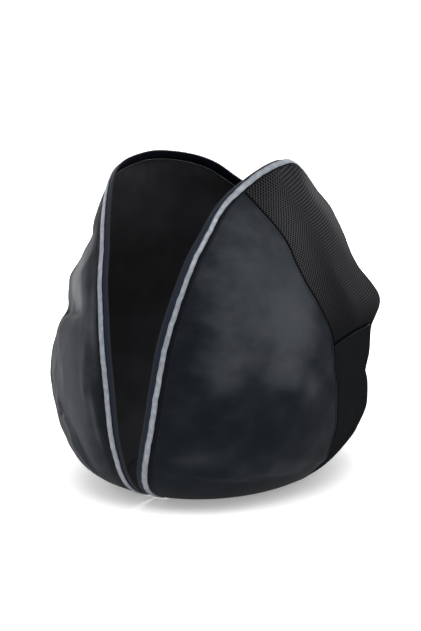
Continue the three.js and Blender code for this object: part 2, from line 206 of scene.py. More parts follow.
# Creases of the cloth, each a line between two places on the wall. Angles are in degrees, heights
# shares of the wall's height, and width and depth millimetres. Sharp is the width on the crease's
# right-hand side as a share of the other.
RIGHT_CREASES = Table(
    "angle height angle_to height_to width depth sharp",
    (-64, 0.34, -44, 0.31, 14, 0.6, 0.35),
    (-44, 0.31, -26, 0.35, 12, 0.8, 0.35),
    (-26, 0.35, -12, 0.3, 10, 0.8, 0.35),
    (-62, 0.13, -46, 0.11, 7, 1.6, 0.4),
    (-40, 0.12, -24, 0.1, 7, 1.6, 0.4),
    (-22, 0.13, -6, 0.1, 8, 1.4, 0.4),
    (-9, 0.43, -8, 0.33, 3, -2.6, 0.8),
    (-22, 0.46, -13, 0.36, 9, 1.6, 0.5),
    (14, 0.42, 10, 0.12, 9, -0.8, 0.6),
    (26, 0.4, 20, 0.14, 9, 0.6, 0.5),
)
LEFT_CREASES = Table(
    "angle height angle_to height_to width depth sharp",
    (-57, 0.76, -51, 0.57, 6, 0.6, 0.4),
    (-60, 0.565, -44, 0.54, 4, -2.2, 0.6),
    (-67, 0.56, -73, 0.36, 5, 1.8, 0.6),
    (-73, 0.36, -80, 0.14, 5, 1.5, 0.6),
    (-52, 0.27, -60, 0.17, 5, 2.0, 0.5),
    (-60, 0.17, -66, 0.1, 4, 1.5, 0.5),
    (-47, 0.24, -53, 0.25, 3, -2.2, 0.6),
    (-30, 0.42, -38, 0.2, 8, 1.8, 0.5),
)

# Patches of painted light on the cloth, by their middle: painted highlights and painted sheen where the
# light falls, and painted shade where an amount is below zero. Tall and wide are half their size in
# millimetres, lean is the slant of the sides in degrees, edge is 2 for a soft bell and more for a
# crisper rim, and amount is 1 for the pale colour and 2 for the painted sheen on top of it.
RIGHT_PAINTED_LIGHT = Table(
    "angle height tall wide lean edge amount",
    (-44, 0.655, 76, 43, 0, 3, 0.58),
    (-27, 0.56, 32, 22, 0, 2, 0.75),
    (-54, 0.44, 15, 18, 0, 3, 0.3),
    (-32, 0.42, 14, 18, 0, 3, 0.42),
    (-22, 0.355, 13, 14, 0, 2, 0.36),
    (-64, 0.185, 10, 26, 0, 2, 0.28),
    (-46, 0.13, 14, 32, 0, 2, 0.16),
    (-28, 0.115, 12, 22, 0, 2, 0.3),
    (28, 0.84, 54, 36, 0, 2, 1.2),
    (-16, 0.8, 54, 30, 0, 2, 0.65),
    (24, 0.34, 26, 9, 0, 2, 0.25),
    (2, 0.2, 20, 12, 0, 2, 0.2),
)
LEFT_PAINTED_LIGHT = Table(
    "angle height tall wide lean edge amount",
    (-50, 0.652, 29, 23, 38, 3.2, 1.6),
    (-41, 0.56, 9, 5, 35, 3, -1.5),
    (-73, 0.64, 60, 14, 20, 2, 1.25),
    (-61, 0.33, 74, 32, 8, 3, 0.9),
    (-70, 0.45, 30, 3, 5, 2, 0.5),
    (-76, 0.28, 26, 3, 8, 2, 0.5),
    (-56, 0.38, 20, 4, 10, 2, 0.4),
    (-64, 0.17, 22, 5, 30, 2, -0.5),
    (-24, 0.84, 48, 34, 0, 2, 0.6),
)


class BagSizes(bpy.types.PropertyGroup):
    """The sizes that the bag is built from."""

    wall_height: FloatProperty(
        name="Wall height", description="Height that the edges' shares are of", default=0.3, unit="LENGTH"
    )
    half_width: FloatProperty(
        name="Half width", description="Half of the bag from side to side", default=0.142, unit="LENGTH"
    )
    half_depth: FloatProperty(
        name="Half depth", description="Half of the bag from front to back", default=0.17, unit="LENGTH"
    )
    base_round: FloatProperty(
        name="Base round", description="Radius between walls and base", default=0.042, unit="LENGTH"
    )
    panel_thickness: FloatProperty(
        name="Panel", description="Thickness of the smooth cloth", default=0.0012, unit="LENGTH"
    )
    mesh_thickness: FloatProperty(
        name="Mesh", description="Thickness of the mesh cloth", default=0.0019, unit="LENGTH"
    )
    lining_thickness: FloatProperty(
        name="Lining", description="Thickness of the lining", default=0.001, unit="LENGTH"
    )
    base_thickness: FloatProperty(
        name="Base", description="Thickness of the base panel", default=0.0016, unit="LENGTH"
    )
    layer_gap: FloatProperty(
        name="Layer gap", description="Room between two layers", default=0.00035, unit="LENGTH"
    )
    seam_gap: FloatProperty(
        name="Seam gap", description="Room between two panels at a seam", default=0.0004, unit="LENGTH"
    )
    strip_trim: FloatProperty(
        name="Strip trim", description="How far each side of the strip is folded under", default=0.00045,
        unit="LENGTH",
    )
    strip_lap: FloatProperty(
        name="Strip lap", description="How far the strip reaches back over the seam where it leans in",
        default=0.0013, unit="LENGTH",
    )
    strip_width: FloatProperty(
        name="Strip width", description="Width of the reflective strip", default=0.0064, unit="LENGTH"
    )
    strip_thickness: FloatProperty(
        name="Strip thickness", description="Thickness of the strip", default=0.0012, unit="LENGTH"
    )
    strip_proud: FloatProperty(
        name="Strip proud", description="Strip above the panels", default=0.0003, unit="LENGTH"
    )
    tape_reach: FloatProperty(
        name="Tape reach", description="Tape that shows past the strip", default=0.0022, unit="LENGTH"
    )
    tape_thickness: FloatProperty(
        name="Tape", description="Thickness of the zip's tape", default=0.0008, unit="LENGTH"
    )
    coil_width: FloatProperty(
        name="Coil width", description="Width of one side's coil", default=0.002, unit="LENGTH"
    )
    coil_thickness: FloatProperty(
        name="Coil", description="Thickness of one side's coil", default=0.0018, unit="LENGTH"
    )
    coil_pitch: FloatProperty(
        name="Coil pitch", description="Distance between two turns of a coil", default=0.0016, unit="LENGTH"
    )
    closed_gap: FloatProperty(
        name="Closed gap", description="Room between the coils where the zip is closed", default=0.0012,
        unit="LENGTH",
    )
    front_meet: FloatProperty(
        name="Front meet", description="Where the coils meet at the front of the base", default=-0.008,
        unit="LENGTH",
    )
    edge_setback: FloatProperty(
        name="Setback", description="Where the strips start above the base", default=0.008, unit="LENGTH"
    )
    slider_height: FloatProperty(
        name="Slider height", description="Where the slider is parked", default=0.142, unit="LENGTH"
    )
    stitch_length: FloatProperty(
        name="Stitch", description="Distance between two stitches", default=0.003, unit="LENGTH"
    )
    front_share: FloatProperty(
        name="Front share", description="Share of the edge that the front panel takes", default=0.418,
        subtype="FACTOR",
    )
    mesh_share: FloatProperty(
        name="Mesh share", description="How far down the mesh reaches", default=0.465, subtype="FACTOR"
    )
    lean_start: FloatProperty(
        name="Lean start", description="How far down the side seam starts to lean back", default=0.2,
        subtype="FACTOR",
    )
    seam_lean: FloatProperty(
        name="Seam lean", description="How far the side seam leans back, a share of the edge",
        default=0.018, subtype="FACTOR",
    )
    lean_reach: FloatProperty(
        name="Lean reach", description="Share of the edge over which the lean fades out", default=0.12,
        subtype="FACTOR",
    )
    hook_share: FloatProperty(
        name="Rib hook", description="Share of a rib's turn just under the edge", default=0.6,
        subtype="FACTOR",
    )
    hook_sharpness: IntProperty(
        name="Rib sharpness", description="How soon a rib turns under the edge", default=12
    )
    seed: IntProperty(name="Seed", description="Seed of the fine wrinkles", default=7)


def colour(name, description, default):
    """A linear colour property."""
    return FloatVectorProperty(
        name=name, description=description, default=default, size=3, min=0, max=1, subtype="COLOR"
    )


class BagColours(bpy.types.PropertyGroup):
    """The colours of the bag's materials."""

    satin: colour("Satin", "Smooth cloth of the front panels", (0.0045, 0.0062, 0.0086))
    # Painted light: the satin's colour where painted highlights fall, and its painted sheen.
    satin_painted_light: colour("Satin, rubbed", "Smooth cloth where it is rubbed", (0.0375, 0.041, 0.047))
    satin_painted_sheen: colour("Satin, sheen", "Smooth cloth where it shines", (0.15, 0.152, 0.158))
    rear_cloth: colour("Rear cloth", "Plain cloth under the mesh", (0.0072, 0.0077, 0.0088))
    mesh: colour("Mesh", "Threads of the mesh where they catch the light", (0.064, 0.0645, 0.068))
    mesh_low: colour("Mesh, low", "Threads of the mesh between its ribs", (0.013, 0.013, 0.0142))
    mesh_hole: colour("Mesh holes", "What shows through the mesh", (0.0015, 0.0015, 0.002))
    lining: colour("Lining", "Cloth inside", (0.016, 0.0163, 0.018))
    strip: colour("Strip", "Reflective strip", (0.22, 0.24, 0.27))
    strip_worn: colour("Strip, worn", "Strip where it is creased", (0.13, 0.145, 0.165))
    tape: colour("Tape", "Zip tape", (0.007, 0.009, 0.016))
    coil: colour("Coil", "Zip coil", (0.03, 0.031, 0.035))
    thread: colour("Thread", "Stitches", (0.012, 0.013, 0.016))
    strip_thread: colour("Strip thread", "Stitches on the strip", (0.16, 0.17, 0.185))
    metal: colour("Metal", "Slider", (0.05, 0.051, 0.054))
    # Painted shade: cloth along the seams and the edge.
    seam: colour("Seam", "Cloth in the shade of a seam", (0.003, 0.003, 0.005))
    floor: colour("Floor", "Floor and backdrop", (0.94, 0.94, 0.94))


def smooth(value, low, high):
    """0 below low, 1 above high, and an even S between them."""
    u = np.clip((value - low) / (high - low), 0, 1)
    return u * u * (3 - 2 * u)


def bell(value, width):
    """A soft hump of height 1 and the given half width at zero."""
    return np.exp(-((value / width) ** 2))


def unit(vectors):
    """Vectors of length 1 in the same directions."""
    return vectors / np.linalg.norm(vectors, axis=-1, keepdims=True)


def tinted(shade, factor):
    """A colour made lighter or darker by a factor."""
    return [factor * part for part in shade]


class EdgeFrame(NamedTuple):
    """Points beside an edge that its strip is measured from, the way out of the strip and the way off
    the wall, all leant in by the roll, and the tape's tuck and the roll in radians."""

    point: np.ndarray
    way_out: np.ndarray
    way_off: np.ndarray
    tuck: np.ndarray
    roll: np.ndarray


class Wall:
    """One side wall: its surface, its edge and the cloth's relief on it."""

    # A short step for slopes: degrees, or a share of the edge or of the wall's height.
    probe = 1e-3
    # The shortest length that anything is divided by.
    least = 0.1 * MM
    # Creases and wrinkles fade in between these distances from the edge.
    fade_from = 1 * MM
    fade_to = 14 * MM
    # The cloth is laid flat as seen from this share of the wall's height, with its middle so many
    # degrees from the side towards the back.
    flat_height = 0.46
    flat_turn = 15

    def __init__(self, sizes, name, side, edge, slims, folds, creases, painted_patches):
        self.sizes = sizes
        self.name = name
        self.side = side
        self.edge = edge
        self.folds = folds
        self.slims = slims
        self.creases = creases
        self.painted_patches = painted_patches
        heights = edge.column("height") * sizes.wall_height
        spots = self.body(self.angle_at(edge.column("turn"), heights), heights)
        steps = np.linalg.norm(np.diff(spots, axis=0), axis=1)
        self.edge_length = steps.sum()
        self.alongs = np.concatenate([[0], np.cumsum(steps)]) / self.edge_length

    def length_at(self, z):
        """Length of the wall's profile from the base to a height: an arc, then straight up."""
        r = self.sizes.base_round
        arc = r * np.arccos(np.clip(1 - z / r, -1, 1))
        return np.where(z >= r, r * math.pi / 2 + z - r, arc)

    def height_at(self, length):
        """The height at a length of the profile."""
        r = self.sizes.base_round
        arc = r * (1 - np.cos(np.clip(length / r, 0, math.pi)))
        return np.where(length >= r * math.pi / 2, length - r * math.pi / 2 + r, arc)

    def drawn_in(self, z):
        """How far the round at the base draws the body in at a height."""
        r = self.sizes.base_round
        rise = np.clip(1 - z / r, 0, 1)
        return r * (1 - np.sqrt(1 - rise * rise))

    def swell(self, angle, z):
        """The sum of the folds: each is a bell across times a bell along, fading at the base."""
        total = np.zeros(np.broadcast(angle, z).shape)
        for fold_angle, height, tall, wide, lean, depth in self.folds.rows:
            around = np.radians(angle - fold_angle) * self.sizes.half_width
            up = z - height * self.sizes.wall_height
            tilt = math.radians(lean)
            across = around * math.cos(tilt) + up * math.sin(tilt)
            along = up * math.cos(tilt) - around * math.sin(tilt)
            reach = self.sizes.half_depth
            total += depth * reach * bell(across, wide * reach) * bell(along, tall * reach)
        return total * smooth(z, 0, self.sizes.base_round)

    def reach(self, whole, column, z):
        """How far the body reaches to one side, to the front or to the back at a height."""
        return whole * SECTIONS.read(column, z / self.sizes.wall_height) - self.drawn_in(z)

    def angle_at(self, turn, z):
        """The angle of a turn round the wall: at 90 the edge is as far from where the coils meet as
        its strip, tape and coil are wide."""
        sizes = self.sizes
        zip_half = sizes.seam_gap + sizes.strip_width + sizes.tape_reach + sizes.layer_gap
        zip_half = zip_half + sizes.coil_width + sizes.closed_gap / 2
        apart = zip_half + np.where(turn < 0, self.side * sizes.front_meet, 0)
        left_over = np.arcsin(apart / self.reach(sizes.half_width, self.name, z))
        return turn / 90 * (90 - np.degrees(left_over))

    def body(self, angle, z):
        """An ellipse at each height, its half axes read from the sections, drawn in at the base."""
        turn = np.radians(angle)
        swell = self.swell(angle, z)
        width = self.reach(self.sizes.half_width, self.name, z)
        front = self.reach(self.sizes.half_depth, "front", z)
        back = self.reach(self.sizes.half_depth, "back", z)
        depth = np.where(angle < 0, front, back)
        x = self.side * (width + swell) * np.cos(turn)
        y = (depth + swell) * np.sin(turn)
        return np.stack([x, y, np.broadcast_to(z, x.shape)], axis=-1)

    def body_normal(self, angle, z):
        """The cross product of short steps round the body and up its profile."""
        step = self.probe * self.sizes.wall_height
        length = self.length_at(z)
        low = self.height_at(np.maximum(length - step, 0))
        high = self.height_at(length + step)
        around = self.body(angle + self.probe, z) - self.body(angle - self.probe, z)
        up = self.body(angle, high) - self.body(angle, low)
        return unit(np.cross(around, up) * self.side)

    def place(self, along, down):
        """Angle and height: a rib goes down from the edge and turns most just under it."""
        sizes = self.sizes
        lean = sizes.seam_lean * smooth(down, sizes.lean_start, sizes.mesh_share)
        leant = along + lean * bell(along - sizes.front_share, sizes.lean_reach)
        height = self.edge.read("height", leant, self.alongs) * sizes.wall_height
        angle = self.angle_at(self.edge.read("turn", leant, self.alongs), height)
        foot = self.angle_at(self.edge.read("foot", leant, self.alongs), 0 * height)
        hook = self.sizes.hook_share
        turned = hook * (1 - (1 - down) ** self.sizes.hook_sharpness) + (1 - hook) * down
        z = self.height_at(self.length_at(height) * (1 - down))
        return angle + (foot - angle) * turned, z

    def surface(self, along, down):
        """Points of the wall's smooth outer face, and its normals."""
        angle, z = self.place(*np.broadcast_arrays(along, down))
        return self.body(angle, z), self.body_normal(angle, z)

    def relief(self, along, down):
        """How far the cloth stands out: its wrinkles, and for each crease a bell across its line times
        a bell past its ends, all fading to none at the edge and the foot."""
        angle, z = self.place(*np.broadcast_arrays(along, down))
        around = np.radians(angle) * self.sizes.half_width
        scale = np.array([math.radians(1) * self.sizes.half_width, self.sizes.wall_height])
        total = wrinkles(around, z, self.sizes.seed + self.side)
        for from_angle, from_height, to_angle, to_height, width, depth, sharp in self.creases.rows:
            start = np.array([from_angle, from_height]) * scale
            end = np.array([to_angle, to_height]) * scale
            run = end - start
            length = np.linalg.norm(run)
            run = run / length
            ahead = (around - start[0]) * run[0] + (z - start[1]) * run[1]
            aside = (around - start[0]) * run[1] - (z - start[1]) * run[0]
            past = np.maximum(np.abs(ahead - length / 2) - length / 2, 0)
            reach = np.where(aside > 0, sharp, 1) * width * MM
            total = total + depth * MM * bell(aside, reach) * bell(past, width * MM * 1.5)
        edge_fade = smooth(self.length_down(along, down), self.fade_from, self.fade_to)
        return total * edge_fade * smooth(z, 0, self.sizes.base_round)

    def rubbed(self, along, down):
        """The share of painted light, highlights and sheen, on the cloth: the sum of amount *
        exp(-|across/wide|^edge - |ahead/tall|^edge) over the patches, kept from 0 to 2."""
        angle, z = self.place(*np.broadcast_arrays(along, down))
        total = np.zeros(angle.shape)
        for patch_angle, height, tall, wide, lean, edge, amount in self.painted_patches.rows:
            around = np.radians(angle - patch_angle) * self.sizes.half_width
            up = z - height * self.sizes.wall_height
            across = np.abs(around - up * math.tan(math.radians(lean))) / (wide * MM)
            ahead = np.abs(up) / (tall * MM)
            total = total + amount * np.exp(-(across**edge) - ahead**edge)
        return np.clip(total, 0, 2)

    def rib_length(self, along):
        """Length of the rib that starts at a place of the edge."""
        height = self.edge.read("height", along, self.alongs) * self.sizes.wall_height
        return np.maximum(self.length_at(height), self.least)

    def length_down(self, along, down):
        """Distance from the edge to a place down the wall."""
        return self.rib_length(along) * down

    def spread(self, along, down):
        """How many metres one unit of along is, at a place."""
        ahead = self.surface(np.minimum(along + self.probe, 1), down)[0]
        behind = self.surface(np.maximum(along - self.probe, 0), down)[0]
        reach = np.minimum(along + self.probe, 1) - np.maximum(along - self.probe, 0)
        return np.maximum(np.linalg.norm(ahead - behind, axis=-1) / reach, self.least)

    def edge_frame(self, along):
        """The frame of the edge at places along it: square to the wall, then turned by the roll about
        the strip's lower corner."""
        point, normal = self.surface(along, np.zeros_like(along))
        ahead = self.surface(np.minimum(along + self.probe, 1), np.zeros_like(along))[0]
        behind = self.surface(np.maximum(along - self.probe, 0), np.zeros_like(along))[0]
        way_off = unit(np.cross(normal, ahead - behind) * self.side)
        roll = np.radians(self.edge.read("roll", along, self.alongs))[:, None]
        low = self.sizes.strip_proud - self.sizes.strip_thickness
        corner = point + way_off * self.sizes.seam_gap + normal * low
        leant_off = way_off * np.cos(roll) - normal * np.sin(roll)
        leant_out = way_off * np.sin(roll) + normal * np.cos(roll)
        base = corner - leant_off * self.sizes.seam_gap - leant_out * low
        tuck = np.radians(self.edge.read("tuck", along, self.alongs))
        return EdgeFrame(base, leant_out, leant_off, tuck, roll[:, 0])

    def flat(self, points):
        """The cloth laid flat, in metres: directions seen from the middle of the bag, spread evenly
        round the middle of the wall."""
        centre = np.array([0, 0, self.flat_height * self.sizes.wall_height])
        middle = math.radians(self.flat_turn)
        outward = np.array([self.side * math.cos(middle), math.sin(middle), 0])
        sideways = np.array([-self.side * outward[1], self.side * outward[0], 0])
        rays = unit(points - centre)
        turn = np.arccos(np.clip(rays @ outward, -1, 1))
        flat = np.stack([rays @ sideways, rays[..., 2]], axis=-1)
        scale = (turn / np.maximum(np.sin(turn), 1e-6))[..., None]
        return flat * scale * (self.sizes.half_width + self.sizes.half_depth) / 2


# The cloth's wrinkles: the waves' lengths, each wave's height as a share of its length, and the slow
# wave that bends each, its strength and its length in wavelengths.
WRINKLE_LENGTHS = np.geomspace(16 * MM, 110 * MM, 14)
WRINKLE_HEIGHT = 0.0032
BEND_STRENGTH = 1.6
BEND_LENGTH = 2.3


def wrinkles(around, up, seed):
    """A sum of waves whose directions and phases are random, bent by a slow wave, the longer ones
    taller."""
    chance = np.random.default_rng(seed + 100)
    total = np.zeros(np.shape(around))
    for wavelength in WRINKLE_LENGTHS:
        turn = chance.uniform(0, math.pi)
        phase, bend_phase = chance.uniform(0, 2 * math.pi, 2)
        ahead = around * math.cos(turn) + up * math.sin(turn)
        aside = up * math.cos(turn) - around * math.sin(turn)
        bend = BEND_STRENGTH * np.sin(2 * math.pi * aside / (wavelength * BEND_LENGTH) + bend_phase)
        total = total + wavelength * np.cos(2 * math.pi * ahead / wavelength + phase + bend)
    return total * WRINKLE_HEIGHT


def walls_of(sizes):
    """The left wall and the right wall."""
    return (
        Wall(sizes, "left", -1, LEFT_EDGE, LEFT_SLIMS, LEFT_FOLDS, LEFT_CREASES, LEFT_PAINTED_LIGHT),
        Wall(sizes, "right", 1, RIGHT_EDGE, RIGHT_SLIMS, RIGHT_FOLDS, RIGHT_CREASES, RIGHT_PAINTED_LIGHT),
    )


# Meshes from whole arrays


def quads_between(grid):
    """The four-sided faces of a grid of vertex numbers."""
    corners = [grid[:-1, :-1], grid[1:, :-1], grid[1:, 1:], grid[:-1, 1:]]
    return np.stack(corners, axis=-1).reshape(-1, 4)


def grid_faces(points):
    """The four-sided faces of a grid of points."""
    return quads_between(np.arange(points.size // 3).reshape(points.shape[:2]))


def volume_sign(points, faces):
    """The sign of the volume inside four-sided faces: negative if they point inwards."""
    a, b, c, d = (points[faces[:, k]] for k in range(4))
    halves = np.einsum("ij,ij->i", a, np.cross(b, c)) + np.einsum("ij,ij->i", a, np.cross(c, d))
    return math.copysign(1, halves.sum())


def new_piece(name, points, faces, material, nodes, flat=None, values=None, caps=()):
    """A smooth mesh object that rides on the bag and stands for some nodes of the solid part."""
    points = points.reshape(-1, 3)
    if volume_sign(points, faces) < 0:
        faces = faces[:, ::-1]
        caps = [cap[::-1] for cap in caps]
    mesh = bpy.data.meshes.new(name)
    mesh.from_pydata(points.tolist(), [], faces.tolist() + [list(map(int, cap)) for cap in caps])
    corner = np.zeros(len(mesh.loops), int)
    mesh.loops.foreach_get("vertex_index", corner)
    if flat is not None:
        mesh.uv_layers.new(name="cloth").data.foreach_set("uv", flat.reshape(-1, 2)[corner].ravel())
    for key, value in (values or {}).items():
        mesh.attributes.new(key, "FLOAT", "POINT").data.foreach_set("value", value.ravel())
    mesh.polygons.foreach_set("use_smooth", np.ones(len(mesh.polygons), bool))
    mesh.materials.append(material)
    mesh.update()
    piece = bpy.data.objects.new(name, mesh)
    bpy.context.scene.collection.objects.link(piece)
    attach(piece, "root")
    if nodes:
        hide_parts(*nodes)
    return piece


def weld(piece):
    """Closes a piece whose grids meet themselves."""
    closing = piece.modifiers.new("closed", "WELD")
    closing.merge_threshold = 1e-6


def shell(outer, inner):
    """A closed sheet between two grids: both faces, and a band round their border."""
    columns, rows = outer.shape[:2]
    top = np.arange(columns * rows).reshape(columns, rows)
    low = top + columns * rows
    border = np.concatenate([top[:-1, 0], top[-1, :-1], top[:0:-1, -1], top[0, :0:-1]])
    border = np.append(border, border[0])
    band = np.stack([border, border + columns * rows])
    faces = [quads_between(top), quads_between(low)[:, ::-1], quads_between(band)[:, ::-1]]
    return np.concatenate([outer.reshape(-1, 3), inner.reshape(-1, 3)]), np.concatenate(faces)


def tube(rings):
    """A closed sweep: rings of points joined in order, with a face over each end."""
    count, around = rings.shape[:2]
    numbers = np.arange(count * around).reshape(count, around)
    wrapped = np.concatenate([numbers, numbers[:, :1]], axis=1)
    return rings.reshape(-1, 3), quads_between(wrapped), [numbers[0][::-1], numbers[-1]]


def joined(parts):
    """Several lists of points and faces as one."""
    starts = np.cumsum([0] + [len(points) for points, _ in parts[:-1]])
    faces = np.concatenate([faces + start for start, (_, faces) in zip(starts, parts)])
    return np.concatenate([points for points, _ in parts]), faces


# Materials


class Shade:
    """A number that flows through a material's nodes: sums and products of it add Math nodes."""

    def __init__(self, finish, socket):
        self.finish = finish
        self.socket = socket

    def maths(self, operation, *others):
        """A Math node on this number and others."""
        inputs = dict(enumerate([self, *others]))
        return self.finish.add("ShaderNodeMath", {"operation": operation}, inputs)

    def __add__(self, other):
        return self.maths("ADD", other)

    def __sub__(self, other):
        return self.maths("SUBTRACT", other)

    def __mul__(self, other):
        return self.maths("MULTIPLY", other)

    def __radd__(self, other):
        return self + other

    def __rmul__(self, other):
        return self * other

    def __rsub__(self, other):
        return self * -1 + other

    def wave(self, length):
        """A sine wave of the given length."""
        return (self * (2 * math.pi / length)).maths("SINE")

    def clear(self, low, high):
        """0 below low, 1 above high, and an even S between them."""
        inputs = {"Value": self, "From Min": low, "From Max": high}
        return self.finish.add("ShaderNodeMapRange", {"interpolation_type": "SMOOTHSTEP"}, inputs)


class Finish:
    """A material under construction."""

    prefix = "bag_"

    def __init__(self, name):
        self.material = bpy.data.materials.new(self.prefix + name)
        self.material.use_nodes = True
        self.tree = self.material.node_tree
        self.tree.nodes.clear()

    def add(self, kind, settings=None, inputs=None, output=0):
        """Adds a node, with its settings first and then its sockets' values or links."""
        node = self.tree.nodes.new(kind)
        for key, value in (settings or {}).items():
            setattr(node, key, value)
        for key, value in (inputs or {}).items():
            if isinstance(value, Shade):
                self.tree.links.new(value.socket, node.inputs[key])
            else:
                node.inputs[key].default_value = value
        return Shade(self, node.outputs[output]) if node.outputs else None

    def cloth(self):
        """The two directions of the cloth laid flat, in metres, and the place they give."""
        place = self.add("ShaderNodeUVMap", {"uv_map": "cloth"})
        return (
            self.add("ShaderNodeSeparateXYZ", None, {0: place}, 0),
            self.add("ShaderNodeSeparateXYZ", None, {0: place}, 1),
            place,
        )

    def value(self, name):
        """A number kept on the piece's vertices."""
        return self.add("ShaderNodeAttribute", {"attribute_name": name}, None, 2)

    def place(self):
        """The place in the object's own coordinates."""
        return self.add("ShaderNodeTexCoord", None, None, 3)

    def noise(self, place, grain, detail=2.0, stretch=(1, 1, 1)):
        """Soft random variation from 0 to 1, with features of about the grain's size."""
        stretched = self.add("ShaderNodeMapping", None, {"Vector": place, "Scale": stretch})
        inputs = {"Vector": stretched, "Scale": 1 / grain, "Detail": detail}
        return self.add("ShaderNodeTexNoise", None, inputs)

    def blend(self, share, one, other):
        """A mix of two colours by a share from 0 to 1."""
        inputs = {"Factor": share}
        for key, value in ((6, one), (7, other)):
            inputs[key] = value if isinstance(value, Shade) else (*value, 1)
        return self.add("ShaderNodeMix", {"data_type": "RGBA"}, inputs, 2)

    def surface(self, base, roughness, height, distance, **constants):
        """The shader: what varies feeds its colour, roughness and bump, the rest is set on it."""
        bump = self.add("ShaderNodeBump", None, {"Height": height, "Distance": distance, "Strength": 1})
        inputs = {"Base Color": base, "Roughness": roughness, "Normal": bump}
        inputs.update({key.replace("_", " "): value for key, value in constants.items()})
        shader = self.add("ShaderNodeBsdfPrincipled", None, inputs)
        self.add("ShaderNodeOutputMaterial", None, {"Surface": shader})
        return self.material


def satin_finish(colours, name, dark, pale, gloss):
    """Smooth woven cloth: fine threads both ways, painted highlights and painted sheen in patches, and
    painted shade along its seams.
    """
    finish = Finish(name)
    u, v, place = finish.cloth()
    threads = u.wave(0.6 * MM) * v.wave(0.6 * MM)
    slubs = finish.noise(place, 1.2 * MM, 2, (0.25, 1, 1))
    patches = finish.noise(place, 24 * MM, 5)
    clear_of_seam = finish.value("seam").clear(0.0, 2.2 * MM)
    # Painted light: the share of the pale colour where highlights are painted, broken up by the noise.
    amount = finish.value("rubbed")
    rubbed = (amount + (patches - 0.5) * 0.7).clear(-0.08, 1.0) * (slubs * 0.3 + 0.85) + (slubs - 0.5) * 0.06
    # The dark cloth lightened by the painted light.
    worn = finish.blend(rubbed, dark, pale)
    # Painted sheen where the painted light's amount is over 1.
    painted_sheen = (amount + (slubs - 0.5) * 0.3 + (patches - 0.5) * 0.5).clear(1.0, 1.9)
    # Painted shade: the seam's colour near the seams and the edge.
    base = finish.blend(clear_of_seam, colours.seam, finish.blend(painted_sheen, worn, colours.satin_painted_sheen))
    roughness = patches * 0.16 + slubs * 0.1 + 0.4
    height = threads * 0.5 + slubs
    return finish.surface(base, roughness, height, 0.02 * MM, Specular_IOR_Level=gloss)


def mesh_finish(colours):
    """Knitted spacer mesh: staggered holes beside the side seam, slanting ribs further round, the rear
    cloth's colour towards its foot, painted highlights in patches and painted shade along its seams."""
    finish = Finish("mesh")
    u, v, place = finish.cloth()
    wander = finish.noise(place, 12 * MM, 1) * (0.6 * MM)
    lattice = (u + wander).wave(4.2 * MM) * (v + wander).wave(3.7 * MM)
    beside = finish.value("beside") + (finish.noise(place, 20 * MM, 2) - 0.5) * (12 * MM)
    ribbed = beside.clear(32 * MM, 62 * MM)
    holes = lattice.clear(-0.05, 0.25) * (1 - ribbed)
    ribs = (u * 0.03 - v).wave(2.7 * MM).clear(-1, 1)
    fuzz = finish.noise(place, 0.7 * MM, 2)
    # The painted light of the wall lightens the threads in patches.
    share = finish.value("rubbed") * 0.8 + (ribs - 0.5) * (ribbed * 0.48 + 0.1) + fuzz * 0.2 - 0.05
    thread = finish.blend(share, colours.mesh_low, colours.mesh)
    clear_of_seam = finish.value("seam").clear(0.0, 3 * MM)
    base = finish.blend(holes, thread, colours.mesh_hole)
    base = finish.blend(finish.value("foot").clear(-4 * MM, 34 * MM), colours.rear_cloth, base)
    # Painted shade: the holes' colour along the seams, the edge and the foot of the mesh.
    base = finish.blend(clear_of_seam, colours.mesh_hole, base)
    height = ribs * 0.35 - holes + fuzz * 0.1
    roughness = fuzz * 0.2 + 0.5
    return finish.surface(base, roughness, height, 0.35 * MM, Specular_IOR_Level=0.0)


def lining_finish(colours):
    """Thin smooth lining cloth with a soft sheen."""
    finish = Finish("lining")
    u, v, place = finish.cloth()
    threads = u.wave(0.5 * MM) * v.wave(0.5 * MM)
    patches = finish.noise(place, 30 * MM, 3)
    base = finish.blend(patches, colours.lining, tinted(colours.lining, 2.2))
    roughness = patches * 0.15 + 0.36
    return finish.surface(base, roughness, threads + patches, 0.015 * MM, Specular_IOR_Level=0.2)


def strip_finish(colours):
    """Reflective cloth: a grey face of tiny glass beads, dulled in blotches."""
    finish = Finish("reflective")
    place = finish.place()
    beads = finish.noise(place, 0.5 * MM, 2)
    blotches = finish.noise(place, 5 * MM, 3)
    worn = (blotches * 1.6 - 0.35 + beads * 0.3).clear(0.15, 0.9)
    base = finish.blend(worn, colours.strip, colours.strip_worn)
    roughness = blotches * 0.2 + 0.35
    return finish.surface(base, roughness, beads + blotches * 2, 0.1 * MM, Metallic=0.15)


def thread_finish(name, tint):
    """Twisted thread or woven tape: fine slanting strands."""
    finish = Finish(name)
    place = finish.place()
    strands = finish.noise(place, 0.6 * MM, 2)
    base = finish.blend(strands, tinted(tint, 0.7), tinted(tint, 1.5))
    return finish.surface(base, strands * 0.2 + 0.45, strands, 0.2 * MM, Specular_IOR_Level=0.08)


def metal_finish(colours):
    """Dark coated metal, scuffed paler in patches."""
    finish = Finish("slider")
    place = finish.place()
    scuffs = finish.noise(place, 2 * MM, 4)
    base = finish.blend(scuffs, colours.metal, tinted(colours.metal, 2))
    return finish.surface(base, scuffs * 0.25 + 0.25, scuffs, 0.05 * MM, Metallic=0.85)


